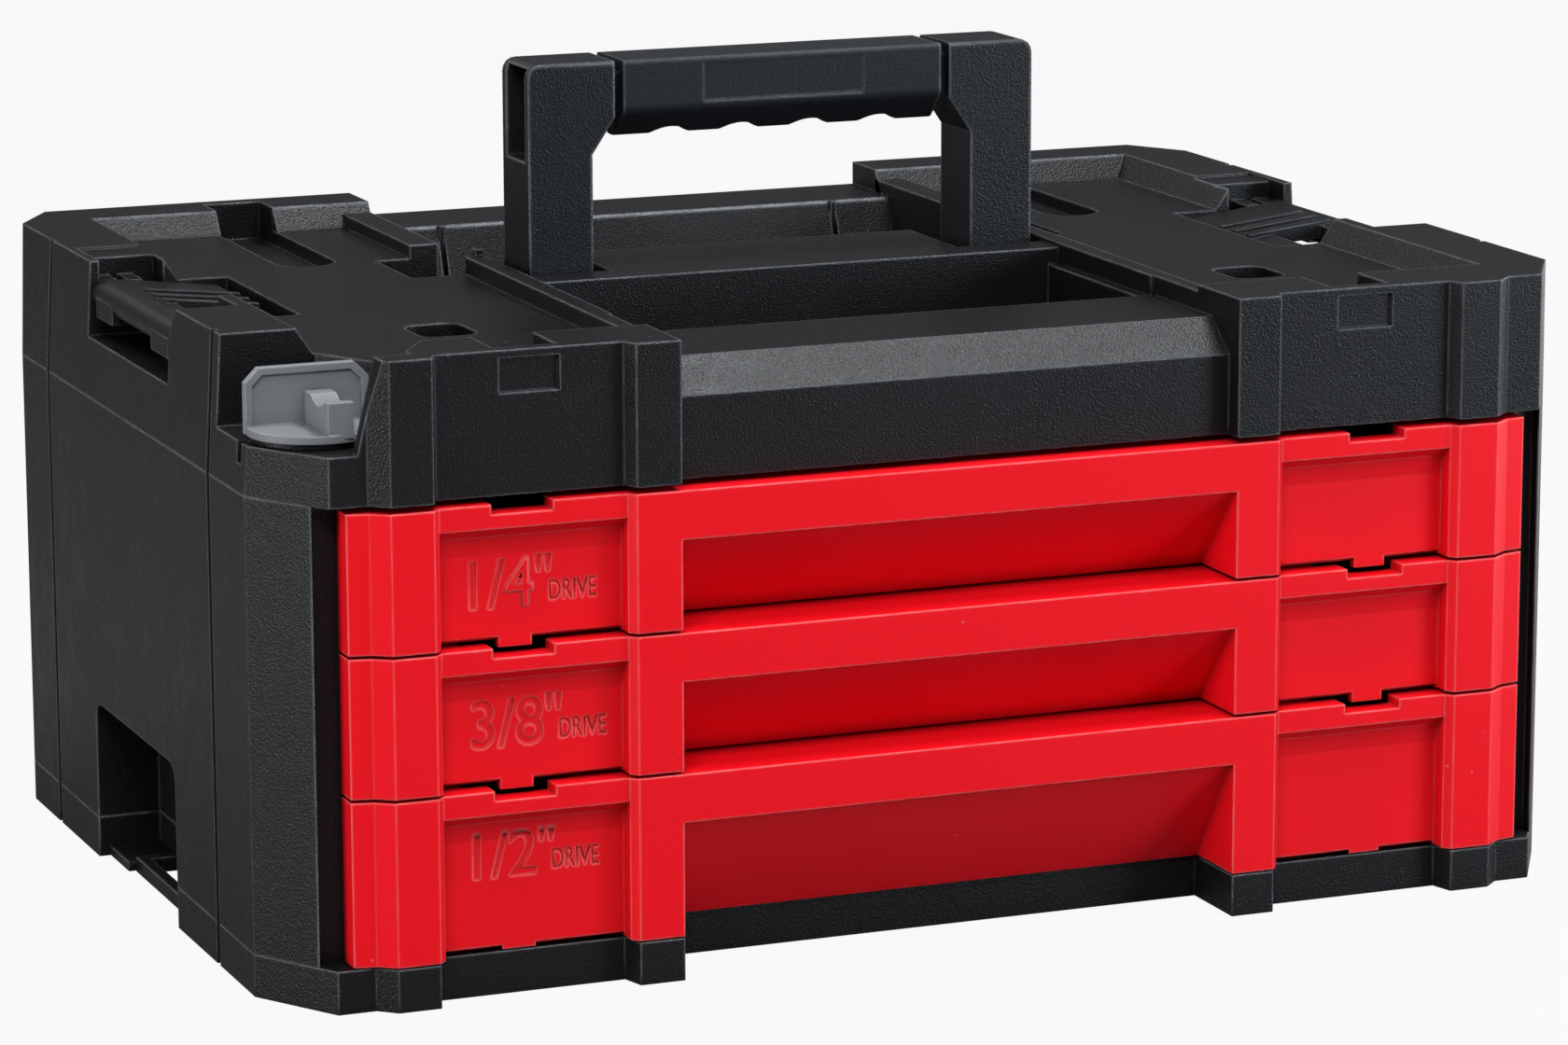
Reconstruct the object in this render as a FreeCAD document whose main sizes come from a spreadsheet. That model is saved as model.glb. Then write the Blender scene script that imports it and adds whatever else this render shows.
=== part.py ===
"""Stacking tool box with three shallow drawers, a fold-down carrying handle, side latches and a drawer lock.

Every size is a named cell of the sheet called Sizes, in millimetres. The origin is the centre of the
box's footprint on the ground: +X to the right, +Y to the back, +Z up. Depths are measured back from the
front face of the pilasters, and heights in the cover down from the top of its rim.
"""
import FreeCAD, Part
import os
import re
import Sketcher

DRIVING_SIZES = {
    # the whole box
    "box_width": 440, "box_depth": 317, "wall": 3, "rib": 2, "seat_gap": 0.3, "slide_gap": 1,
    # plan of the corners and of the front, half widths measured from the middle
    "corner_set": 5, "corner_cut_across": 17.5, "corner_cut_deep": 28.5,
    "rear_cut_across": 16, "rear_cut_deep": 26,
    "inner_pilaster_near": 93, "inner_pilaster_far": 107.5,
    "outer_pilaster_inset": 35, "outer_pilaster_width": 13.5, "pilaster_slope": 2.2, "end_run": 5.5,
    "side_groove_front": 70, "side_groove_inset": 61, "side_groove_width": 3, "side_groove_depth": 1.4,
    # heights that stack up
    "base_height": 13.5, "base_gap": 0.5, "drawer_gap": 1, "cover_gap": 2,
    "bottom_front_height": 51, "middle_front_height": 43, "top_front_height": 43, "cover_height": 44,
    # base
    "base_centre_set": 27, "base_panel_set": 8, "base_floor": 3, "foot_rib": 4,
    "side_pocket_front": 116, "side_pocket_length": 93, "side_pocket_depth": 21, "side_pocket_top": 53,
    "side_pocket_round": 7, "catch_bar_height": 5, "catch_bar_thick": 4, "catch_bar_set": 6,
    "catch_bar_length": 70,
    # case
    "bay_inset": 13.8, "frame_strip_set": 15.5, "frame_strip_inset": 27.3,
    "rear_return": 24, "snap_tab_front": 80, "snap_tab_inset": 85, "snap_tab_length": 18,
    "snap_tab_height": 6,
    # runners and trays
    "tray_inset": 37, "tray_flange": 8.5, "tray_flange_thick": 2.5, "tray_wall": 2.5,
    "tray_front": 30, "tray_rear_inset": 17, "tray_drop": 3, "tray_rise": 2,
    "ledge_thick": 3, "runner_front": 50, "runner_rear_inset": 15,
    # drawer fronts
    "front_inset": 22.7, "front_end_set": 4, "front_return": 14.5, "front_skin": 2.8, "front_lip_set": 2.5,
    "front_panel_set": 8, "front_lip_height": 7.5, "front_panel_blend": 9,
    "pull_bar_height": 15.2, "pull_bar_foot": 1.6, "pull_recess": 25,
    "notch_width": 19.5, "notch_shift": 3.7, "notch_drop": 3, "drop_tab_width": 10.6, "drop_tab_shift": 4.5,
    "drop_tab_height": 2,
    # inserts
    "insert_gap": 0.5, "insert_floor": 2.5, "insert_web": 3, "insert_low": 9,
    "small_lanes": 4, "large_lanes": 3,
    # cover
    "side_draft": 2.5, "cover_centre_set": 7, "cover_panel_set": 5, "rim_drop": 8, "rim_width": 24,
    "rim_bevel": 5.5, "rear_rim_width": 21, "front_strip": 30, "thin_strip": 9.5,
    "key_width": 20, "rear_key_wall": 6, "trough_end": 228, "trough_drop": 5,
    "cup_front": 76, "cup_rear": 99, "cup_width": 18.5, "cup_round": 5.5,
    "ridge_near": 92, "ridge_far": 98.5, "ridge_drop": 2,
    "bevel_back": 20, "bevel_drop": 18.5, "ledge_drop": 8.5, "ledge_rear": 62,
    "block_front": 133, "block_rear": 186, "block_drop": 3.5,
    "tray_depth": 34, "tray_step_drop": 9, "tray_step_width": 3.5,
    "well_half_width": 95, "well_rear_inset": 33, "well_depth": 31, "well_notch_half": 117,
    "well_notch_front": 183, "well_notch_rear": 221, "well_wall_far": 105, "well_rib_place": 72,
    "dent_width": 19, "dent_low": 13, "dent_high": 2.5, "dent_depth": 1.2,
    # handle
    "handle_half_width": 88.5, "handle_rise": 64.5, "handle_front": 147.7, "handle_thick": 24.8,
    "leg_width": 21.8, "handle_knee": 7.9, "handle_knee_drop": 30, "knee_rise": 11.7,
    "grip_half_width": 55.8, "grip_height": 25.6, "grip_round": 9, "core_inset": 4,
    "finger_round": 12, "finger_depth": 2.4, "finger_pitch": 24.5, "grip_panel_half": 28,
    "hollow_height": 30, "hollow_depth": 16, "hollow_wall": 3.4,
    "handle_pivot_drop": 16, "handle_pin_round": 4, "pin_gap": 0.1,
    "slot_near": 61, "slot_front_gap": 1.2, "pin_grip": 5,
    # side latches
    "latch_front": 117, "latch_length": 93, "latch_inset": 46, "latch_well_drop": 24.5,
    "latch_axis_inset": 8, "latch_axis_drop": 11, "latch_barrel_round": 5, "latch_pin_round": 2,
    "latch_plate_thick": 3, "latch_reach": 36, "latch_tilt_drop": 4.2, "latch_lip": 5,
    "latch_end_gap": 1.2, "latch_shoulder": 14, "latch_shoulder_width": 14, "latch_front_bar": 3.5,
    "latch_window_length": 24, "latch_bar": 9, "latch_rib_place": 66, "latch_rib_pitch": 10.5,
    "latch_rib_height": 1.6, "latch_rib_width": 2.4, "latch_opening_slope": 6, "latch_cheek": 10,
    "latch_tooth_front": 4, "latch_tooth_length": 19, "latch_tooth_drop": 6.5, "latch_tooth_reach": 5.2,
    "relief_near": 27, "relief_far": 9.5, "relief_length": 12, "relief_drop": 12, "relief_ear_drop": 7,
    "relief_lug_width": 5, "relief_lug_place": 20, "rim_step_length": 15, "rim_step_drop": 1,
    # drawer lock
    "lock_inset": 22.8, "lock_deep": 35.5, "lock_floor_rise": 15.5, "lock_bay_rear": 64,
    "lock_bay_side": 22, "lock_bay_skew": 12, "lock_bay_slant": 21, "lock_wall_inset": 26.5,
    "lock_wall_lean": 7, "lock_strip_inset": 55, "lock_strip_taper": 13,
    "lock_slit_front": 37.5, "lock_slit_width": 4.5, "lock_slit_drop": 6.5,
    "lock_round": 20.2, "lock_disc_thick": 1.4, "lock_floor_thick": 2.4, "lock_lift": 0.3,
    "lock_plate_thick": 3, "lock_plate_back": 6.5, "lock_plate_height": 17.5, "lock_plate_half": 19.3,
    "lock_plate_shift": 0.8, "lock_plate_cut": 4.4, "lock_border": 2.2, "lock_border_depth": 0.7,
    "lock_tab_thick": 8, "lock_tab_shift": 2.2, "lock_tab_reach": 20, "lock_tab_height": 9.8,
    "lock_tab_scoop": 12, "lock_tab_dip": 2.2,
    "lock_shaft_round": 3.5, "cam_reach": 8.6, "cam_width": 5, "cam_height": 8,
    "cam_clearance": 5, "lug_length": 5, "lock_socket": 5,
    # screws
    "screw_round": 1.7, "screw_head_round": 3.4, "screw_head_thick": 2, "screw_length": 9,
    "screw_inset": 12, "screw_front": 45, "screw_rear_inset": 32, "boss_round": 5,
}

doc = FreeCAD.newDocument("drawer_box")
sheet = doc.addObject("Spreadsheet::Sheet", "Sizes")
for row, (alias, size) in enumerate(DRIVING_SIZES.items(), start=1):
    sheet.set(f"A{row}", alias)
    sheet.set(f"B{row}", str(size))
    sheet.setAlias(f"B{row}", alias)
doc.recompute()

ALIAS = re.compile(r"\b(" + "|".join(sorted(DRIVING_SIZES, key=len, reverse=True)) + r")\b")
SIDES = {"left": -1, "right": 1}
pieces = []


def cells(text):
    """The text of an expression with each size's name made a reference to its cell."""
    return ALIAS.sub(r"Sizes.\1", str(text))


def value(text):
    return float(sheet.evalExpression(cells(text)))


def bind(thing, **properties):
    for name, text in properties.items():
        thing.setExpression(name.replace("_", "."), cells(text))


def deep(text):
    """The y of a depth measured back from the front face of the pilasters."""
    return f"({text}) - box_depth / 2"


# heights above the ground, from the stack of base, drawers and cover
BOTTOM_FRONT = "(base_height + base_gap)"
MIDDLE_FRONT = f"({BOTTOM_FRONT} + bottom_front_height + drawer_gap)"
TOP_FRONT = f"({MIDDLE_FRONT} + middle_front_height + drawer_gap)"
BODY_TOP = f"({TOP_FRONT} + top_front_height + cover_gap)"
RIM_TOP = f"({BODY_TOP} + cover_height)"
DECK = f"({RIM_TOP} - rim_drop)"
LOCK_FLOOR = f"({BODY_TOP} + lock_floor_rise)"
HANDLE_AXIS = f"({RIM_TOP} - handle_pivot_drop)"
HANDLE_TOP = f"({RIM_TOP} + handle_rise)"
HANDLE_MIDDLE = "(handle_front + handle_thick / 2)"
LATCH_AXIS = f"({RIM_TOP} - latch_axis_drop)"
LATCH_ACROSS = "(box_width / 2 - latch_axis_inset)"
SHAFT_BORE = "(lock_shaft_round + pin_gap)"

# places across, measured from the middle, that follow the box's width
OUTER_FAR = "(box_width / 2 - outer_pilaster_inset)"
OUTER_NEAR = f"({OUTER_FAR} - outer_pilaster_width)"
PANEL_MIDDLE = f"((inner_pilaster_far + {OUTER_NEAR}) / 2)"
KEY_NEAR = f"({PANEL_MIDDLE} - key_width / 2)"
KEY_FAR = f"({PANEL_MIDDLE} + key_width / 2)"
BAY_HALF = "(box_width / 2 - bay_inset)"
FRONT_HALF = "(box_width / 2 - front_inset)"
TRAY_HALF = "(box_width / 2 - tray_inset)"
FLANGE_HALF = f"({TRAY_HALF} + tray_flange)"
SCREW_ACROSS = "(box_width / 2 - screw_inset)"
LOCK_ACROSS = "(box_width / 2 - lock_inset)"
LOCK_BAY_NEAR = f"({LOCK_ACROSS} - lock_bay_side)"
LOCK_WALL = "(box_width / 2 - lock_wall_inset)"
LOCK_STRIP = "(box_width / 2 - lock_strip_inset)"

# depths that follow the box's depth
TRAY_REAR = "(box_depth - tray_rear_inset)"
WELL_REAR = "(box_depth - well_rear_inset)"
GROOVE_REAR = "(box_depth - side_groove_inset)"
SNAP_TAB_REAR = "(box_depth - snap_tab_inset)"
SCREW_REAR = "(box_depth - screw_rear_inset)"


# ---- modelling helpers -------------------------------------------------------------------------------

def new_body(label):
    body = doc.addObject("PartDesign::Body", label)
    body.Label = label
    pieces.append(body)
    return body


def draw(body, name, plane, shapes, at):
    """A sketch on one of the body's origin planes, moved along the plane's normal to the place at.

    Each shape is a closed list of corners, or a circle as (x, y, radius). Every corner and centre is held
    by a horizontal and a vertical dimension from the origin, bound to the sheet.
    """
    sketch = body.newObject("Sketcher::SketchObject", f"{body.Name}_{name}_sketch")
    origin_plane = [part for part in body.Origin.OriginFeatures if part.Role == plane + "_Plane"][0]
    sketch.AttachmentSupport = [(origin_plane, "")]
    sketch.MapMode = "FlatFace"
    sketch.setExpression(".AttachmentOffset.Base.z", cells(f"-({at})" if plane == "XZ" else at))
    held = []
    for shape in shapes:
        held += circle_of(sketch, *shape) if isinstance(shape, tuple) else corners_of(sketch, shape)
    sketch.addConstraint([constraint for constraint, text in held])
    for number, (constraint, text) in enumerate(held):
        if text is not None:
            sketch.setExpression(f"Constraints[{number}]", cells(text))
    return sketch


def place_of(geometry, point, x, y):
    """The two dimensions that hold a point from the origin."""
    return [(Sketcher.Constraint(kind, -1, 1, geometry, point, value(text)), text)
            for kind, text in (("DistanceX", x), ("DistanceY", y))]


def corners_of(sketch, corners):
    places = [FreeCAD.Vector(value(x), value(y), 0) for x, y in corners]
    first = sketch.GeometryCount
    held = []
    for index, place in enumerate(places):
        sketch.addGeometry(Part.LineSegment(place, places[(index + 1) % len(places)]))
    for index, (x, y) in enumerate(corners):
        following = first + (index + 1) % len(corners)
        held.append((Sketcher.Constraint("Coincident", first + index, 2, following, 1), None))
        held += place_of(first + index, 1, x, y)
    return held


def circle_of(sketch, x, y, radius):
    centre = FreeCAD.Vector(value(x), value(y), 0)
    ring = sketch.addGeometry(Part.Circle(centre, FreeCAD.Vector(0, 0, 1), value(radius)))
    return place_of(ring, 3, x, y) + [(Sketcher.Constraint("Radius", ring, value(radius)), radius)]


def extrude(kind, body, name, plane, shapes, low, high):
    """A pad or pocket of the shapes between two places along the plane's axis."""
    sketch = draw(body, name, plane, shapes, high if plane == "XZ" else low)
    feature = body.newObject(f"PartDesign::{kind}", f"{body.Name}_{name}")
    feature.Profile = sketch
    feature.setExpression("Length", cells(f"({high}) - ({low})"))
    if kind == "Pocket":
        feature.Reversed = True
    sketch.Visibility = False
    return feature


def pad(*arguments):
    return extrude("Pad", *arguments)


def pocket(*arguments):
    return extrude("Pocket", *arguments)


def box(near_x, far_x, near_y, far_y):
    return [(near_x, near_y), (far_x, near_y), (far_x, far_y), (near_x, far_y)]


def mirrored(corners):
    return [(f"-({x})", y) for x, y in corners]


def both(corners):
    """The same shape on the right and on the left."""
    return [corners, mirrored(corners)]


def on_side(side, corners):
    return corners if side > 0 else mirrored(corners)


def pick_edges(body, accept):
    doc.recompute()
    shape = body.Tip.Shape
    return [f"Edge{number}" for number, edge in enumerate(shape.Edges, start=1) if accept(edge)]


def round_edges(body, name, accept, radius):
    """A fillet on the edges that the function accept chooses."""
    edges = pick_edges(body, accept)
    before = body.Tip
    feature = body.newObject("PartDesign::Fillet", f"{body.Name}_{name}")
    feature.Base = (before, edges)
    feature.setExpression("Radius", cells(radius))
    return feature


def runs_along(edge, axis):
    if edge.Curve.TypeId != "Part::GeomLine":
        return False
    direction = edge.tangentAt(edge.FirstParameter)
    return abs(abs(getattr(direction, axis)) - 1) < 1e-6


def close_to(number, text):
    return abs(number - value(text)) < 0.01


# ---- outlines shared by the base and the cover -------------------------------------------------------

def front_corners(centre_set, panel_set):
    """The right half of the front in plan, from the middle out to the start of the corner."""
    return [
        ("inner_pilaster_near", deep(centre_set)),
        ("inner_pilaster_near", deep(0)),
        ("inner_pilaster_far", deep(0)),
        ("inner_pilaster_far + pilaster_slope", deep(panel_set)),
        (f"{OUTER_NEAR} - pilaster_slope", deep(panel_set)),
        (OUTER_NEAR, deep(0)),
        (OUTER_FAR, deep(0)),
    ]


def box_outline(centre_set, panel_set):
    right = front_corners(centre_set, panel_set) + [
        (f"{OUTER_FAR} + end_run", deep("corner_set")),
        ("box_width / 2 - corner_cut_across", deep("corner_set")),
        ("box_width / 2", deep("corner_set + corner_cut_deep")),
        ("box_width / 2", deep("box_depth - rear_cut_deep")),
        ("box_width / 2 - rear_cut_across", deep("box_depth")),
    ]
    return right + mirrored(right)[::-1]


def side_grooves(body, low, high):
    """The two upright grooves that part each side wall into three."""
    for name, place in (("front_grooves", "side_groove_front"), ("rear_grooves", GROOVE_REAR)):
        strip = box("box_width / 2 - side_draft - side_groove_depth", "box_width / 2 + wall",
                    deep(place), deep(f"{place} + side_groove_width"))
        pocket(body, name, "XY", both(strip), low, high)


# ---- base --------------------------------------------------------------------------------------------

def base_tray():
    body = new_body("base_tray")
    pad(body, "blank", "XY", [box_outline("base_centre_set", "base_panel_set")], "0", "base_height")
    inner = [
        ("inner_pilaster_near - 2 * wall", deep("base_centre_set + wall")),
        ("inner_pilaster_near + wall", deep("base_centre_set + wall")),
        ("inner_pilaster_near + wall", deep("base_panel_set + wall")),
        (OUTER_FAR, deep("base_panel_set + wall")),
        ("box_width / 2 - side_pocket_depth - wall", deep("corner_set + corner_cut_deep")),
        ("box_width / 2 - side_pocket_depth - wall", deep("box_depth - rear_cut_deep")),
        ("box_width / 2 - rear_cut_across - 2 * wall", deep("box_depth - wall")),
    ]
    pocket(body, "underside", "XY", [inner + mirrored(inner)[::-1]], "0", "base_height - base_floor")
    for number in (-1, 0, 1):
        rib = box(f"{number} * {OUTER_NEAR} / 2 - foot_rib / 2",
                  f"{number} * {OUTER_NEAR} / 2 + foot_rib / 2",
                  deep("base_centre_set + wall / 2"), deep("box_depth - wall / 2"))
        pad(body, f"foot_rib_{number + 2}", "XY", [rib], "0", "base_height - base_floor / 2")
    notch = box("box_width / 2 - side_pocket_depth", "box_width / 2 + wall",
                deep("side_pocket_front"), deep("side_pocket_front + side_pocket_length"))
    pocket(body, "side_pockets", "XY", both(notch), "0", "base_height")
    bar = [
        ("box_width / 2 - catch_bar_set", deep("side_pocket_front - wall")),
        ("box_width / 2 - catch_bar_set", deep("side_pocket_front + catch_bar_length")),
        ("box_width / 2 - side_pocket_depth - wall / 2", deep("side_pocket_front + catch_bar_length")),
        ("box_width / 2 - side_pocket_depth - wall / 2",
         deep("side_pocket_front + catch_bar_length - catch_bar_thick")),
        ("box_width / 2 - catch_bar_set - catch_bar_thick",
         deep("side_pocket_front + catch_bar_length - catch_bar_thick")),
        ("box_width / 2 - catch_bar_set - catch_bar_thick", deep("side_pocket_front - wall")),
    ]
    pad(body, "catch_bars", "XY", both(bar), "0", "catch_bar_height")
    side_grooves(body, "0", "base_height")
    pocket(body, "lock_socket", "XY", [(f"-{LOCK_ACROSS}", deep("lock_deep"), SHAFT_BORE)],
           "base_height - lock_socket", "base_height")
    screw_holes(body, "screw_round + pin_gap", "0", "base_height")
    screw_holes(body, "screw_head_round + seat_gap", "0", "screw_head_thick + seat_gap")


def screw_places():
    for across in (SCREW_ACROSS, f"-{SCREW_ACROSS}"):
        for depth in ("screw_front", SCREW_REAR):
            yield across, deep(depth)


def screw_holes(body, radius, low, high):
    rings = [(x, y, radius) for x, y in screw_places()]
    pocket(body, "screw_holes_" + re.sub(r"\W+", "", radius)[:14], "XY", rings, low, high)


def base_screws():
    """Four screws, heads below the base, that hold the side panels to the base."""
    screws = []
    for number, (x, y) in enumerate(screw_places(), start=1):
        head = doc.addObject("Part::Cylinder", f"screw_head_{number}")
        bind(head, Radius="screw_head_round", Height="screw_head_thick")
        shank = doc.addObject("Part::Cylinder", f"screw_shank_{number}")
        bind(shank, Radius="screw_round", Height="base_height + screw_length - seat_gap",
             Placement_Base_z="seat_gap")
        head.setExpression("Placement.Base.z", cells("seat_gap"))
        screw = doc.addObject("Part::Fuse", f"screw_{number}")
        screw.Base = head
        screw.Tool = shank
        screw.setExpression("Placement.Base.x", cells(x))
        screw.setExpression("Placement.Base.y", cells(y))
        screws.append(screw)
    group = doc.addObject("Part::Compound", "base_screws")
    group.Links = screws
    group.Label = "base_screws"
    pieces.append(group)


# ---- case --------------------------------------------------------------------------------------------

def side_panel(name, side):
    """Side wall with its corner posts, the stacking pocket and the screw bosses."""
    body = new_body(f"{name}_side_panel")
    slope = "corner_cut_deep / corner_cut_across"
    start = f"(corner_set + (corner_cut_across - bay_inset) * {slope})"
    outline = [
        (BAY_HALF, deep(start)),
        ("box_width / 2", deep("corner_set + corner_cut_deep")),
        ("box_width / 2", deep("box_depth - rear_cut_deep")),
        ("box_width / 2 - rear_cut_across", deep("box_depth")),
        ("box_width / 2 - rear_return", deep("box_depth")),
        ("box_width / 2 - rear_return", deep("box_depth - wall")),
        ("box_width / 2 - rear_cut_across - wall / 2", deep("box_depth - wall")),
        ("box_width / 2 - wall", deep("box_depth - rear_cut_deep - wall / 2")),
        ("box_width / 2 - wall", deep("corner_set + corner_cut_deep + wall / 2")),
        (f"{BAY_HALF} + wall / 2", deep("frame_strip_set + wall")),
        ("box_width / 2 - frame_strip_inset", deep("frame_strip_set + wall")),
        ("box_width / 2 - frame_strip_inset", deep("frame_strip_set")),
        (BAY_HALF, deep("frame_strip_set")),
    ]
    pad(body, "wall", "XY", [on_side(side, outline)], "base_height", BODY_TOP)
    pocket_wall = "box_width / 2 - side_pocket_depth - wall + seat_gap"
    housing = box(pocket_wall, "box_width / 2 - wall / 2", deep("side_pocket_front - wall"),
                  deep("side_pocket_front + side_pocket_length + wall"))
    pad(body, "pocket_box", "XY", [on_side(side, housing)], "base_height", "side_pocket_top + wall")
    for place, depth in (("front", "screw_front"), ("rear", SCREW_REAR)):
        boss = (SCREW_ACROSS if side > 0 else f"-{SCREW_ACROSS}", deep(depth), "boss_round")
        web = box(SCREW_ACROSS, "box_width / 2 - wall / 2", deep(f"{depth} - rib / 2"),
                  deep(f"{depth} + rib / 2"))
        pad(body, f"{place}_web", "XY", [on_side(side, web)], "base_height", BODY_TOP)
        pad(body, f"{place}_boss", "XY", [boss], "base_height", BODY_TOP)
        pocket(body, f"{place}_bore", "XY", [(boss[0], boss[1], "screw_round + pin_gap")], "base_height",
               "base_height + screw_length + wall")
    # tabs that stand up inside the cover's wall
    inside_cover = "box_width / 2 - side_draft - wall - seat_gap"
    for name, place in (("front_tab", "snap_tab_front"), ("rear_tab", SNAP_TAB_REAR)):
        tab = box(f"{inside_cover} - rib", inside_cover, deep(place), deep(f"{place} + snap_tab_length"))
        pad(body, name, "XY", [on_side(side, tab)], f"{BODY_TOP} - 2 * snap_tab_height",
            f"{BODY_TOP} + snap_tab_height")
        brace = box(f"{inside_cover} - rib", "box_width / 2 - wall / 2", deep(place),
                    deep(f"{place} + snap_tab_length"))
        pad(body, f"{name}_brace", "XY", [on_side(side, brace)], f"{BODY_TOP} - 2 * snap_tab_height",
            f"{BODY_TOP} - snap_tab_height")
    arch = [
        (deep("side_pocket_front"), "base_height"),
        (deep("side_pocket_front + side_pocket_length"), "base_height"),
        (deep("side_pocket_front + side_pocket_length"), "side_pocket_top"),
        (deep("side_pocket_front"), "side_pocket_top"),
    ]
    low, high = ("box_width / 2 - side_pocket_depth", "box_width / 2 + wall")
    if side < 0:
        low, high = (f"-({high})", f"-({low})")
    pocket(body, "stacking_pocket", "YZ", [arch], low, high)
    for groove, place in (("front_groove", "side_groove_front"), ("rear_groove", GROOVE_REAR)):
        strip = box("box_width / 2 - side_groove_depth", "box_width / 2 + wall", deep(place),
                    deep(f"{place} + side_groove_width"))
        pocket(body, groove, "XY", [on_side(side, strip)], "base_height", BODY_TOP)
    round_edges(body, "pocket_round", lambda edge: runs_along(edge, "x")
                and close_to(edge.BoundBox.ZMin, "side_pocket_top"), "side_pocket_round")


def rear_panel():
    body = new_body("rear_panel")
    half = "box_width / 2 - rear_return - seat_gap"
    pad(body, "wall", "XY", [box(f"-({half})", half, deep("box_depth - wall"), deep("box_depth"))],
        f"base_height + seat_gap", f"{BODY_TOP} - seat_gap")
    for number in (-1, 0, 1):
        rib = box(f"{number} * {OUTER_NEAR} / 2 - rib / 2", f"{number} * {OUTER_NEAR} / 2 + rib / 2",
                  deep("box_depth - 2 * wall"), deep("box_depth - wall / 2"))
        pad(body, f"rib_{number + 2}", "XY", [rib], f"base_height + wall", f"{BODY_TOP} - wall")


def runner(name, side):
    """Inner wall of one side with a ledge under each tray's flange."""
    body = new_body(f"{name}_runner")
    inner = "box_width / 2 - side_pocket_depth - wall"
    rear = deep("box_depth - runner_rear_inset")
    plate = box(f"{inner} - wall", inner, deep("runner_front"), rear)
    pad(body, "plate", "XY", [on_side(side, plate)], "base_height + seat_gap", f"{BODY_TOP} - seat_gap")
    for label, front, height in DRAWERS:
        flange_under = f"{front} + {height} - tray_drop - tray_flange_thick"
        ledge = box(f"{TRAY_HALF} + slide_gap", f"{inner} - wall / 2", deep("runner_front"), rear)
        pad(body, f"{label}_ledge", "XY", [on_side(side, ledge)],
            f"{flange_under} - seat_gap - ledge_thick", f"{flange_under} - seat_gap")


# ---- drawers -----------------------------------------------------------------------------------------

DRAWERS = (
    ("bottom", BOTTOM_FRONT, "bottom_front_height"),
    ("middle", MIDDLE_FRONT, "middle_front_height"),
    ("top", TOP_FRONT, "top_front_height"),
)


def drawer_front(label, bottom, height):
    """Moulded front: pilasters, recessed side panels under a lip, and the pull bar over a sloped recess.

    Two tabs below it drop into the notches of the next front.
    """
    body = new_body(f"{label}_drawer_front")
    body.setExpression("Placement.Base.z", cells(bottom))
    rear = deep("tray_front - seat_gap")
    right = front_corners("0", "front_lip_set")[1:] + [
        (f"{OUTER_FAR} + end_run", deep("front_end_set")),
        (FRONT_HALF, deep("front_end_set + front_skin / 2")),
        (FRONT_HALF, deep("front_return")),
        (FLANGE_HALF, deep("front_return")),
        (FLANGE_HALF, rear),
    ]
    pad(body, "blank", "XY", [right + mirrored(right)[::-1]], "0", height)
    # the wall of the pull recess slopes back from the foot of the bar to the bottom edge
    slope = [
        (deep("-front_skin"), f"{height} - pull_bar_height"),
        (deep("pull_bar_foot"), f"{height} - pull_bar_height"),
        (deep("pull_recess"), "0"),
        (deep("-front_skin"), "0"),
    ]
    pocket(body, "pull_recess", "YZ", [slope], "-inner_pilaster_near", "inner_pilaster_near")
    behind = [
        (deep("front_skin + pull_bar_foot"), f"{height} - front_skin"),
        (rear, f"{height} - front_skin"),
        (rear, "front_skin"),
        (deep("pull_recess + front_skin / 2"), "front_skin"),
        (deep("front_skin + pull_bar_foot"), f"{height} - pull_bar_height + front_skin / 2"),
    ]
    pocket(body, "behind_pull", "YZ", [behind], "-(inner_pilaster_near - front_skin)",
           "inner_pilaster_near - front_skin")
    hollow = box("inner_pilaster_near + front_skin", f"{FLANGE_HALF} - front_skin",
                 deep("front_panel_set + front_skin"), rear)
    pocket(body, "behind_panels", "XY", both(hollow), "front_skin", f"{height} - front_skin - notch_drop")
    recess = [
        (deep("-front_skin"), f"{height} - front_lip_height"),
        (deep("front_lip_set + front_skin / 2"), f"{height} - front_lip_height"),
        (deep("front_panel_set - front_skin / 2"), f"{height} - front_lip_height - front_panel_blend / 3"),
        (deep("front_panel_set"), f"{height} - front_lip_height - front_panel_blend"),
        (deep("front_panel_set"), "0"),
        (deep("-front_skin"), "0"),
    ]
    near = "inner_pilaster_far + pilaster_slope"
    far = f"{OUTER_NEAR} - pilaster_slope"
    pocket(body, "right_panel", "YZ", [recess], near, far)
    pocket(body, "left_panel", "YZ", [recess], f"-({far})", f"-({near})")
    middle = f"({PANEL_MIDDLE} + notch_shift)"
    notch = box(f"{middle} - notch_width / 2", f"{middle} + notch_width / 2", deep("-front_skin"),
                deep("front_panel_set + front_skin + seat_gap"))
    pocket(body, "top_notches", "XY", both(notch), f"{height} - notch_drop", height)
    if label != "bottom":
        middle = f"({PANEL_MIDDLE} + drop_tab_shift)"
        tab = box(f"{middle} - drop_tab_width / 2", f"{middle} + drop_tab_width / 2",
                  deep("front_panel_set"), deep("front_panel_set + front_skin"))
        pad(body, "drop_tabs", "XY", both(tab), "-drop_tab_height", "0")


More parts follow.
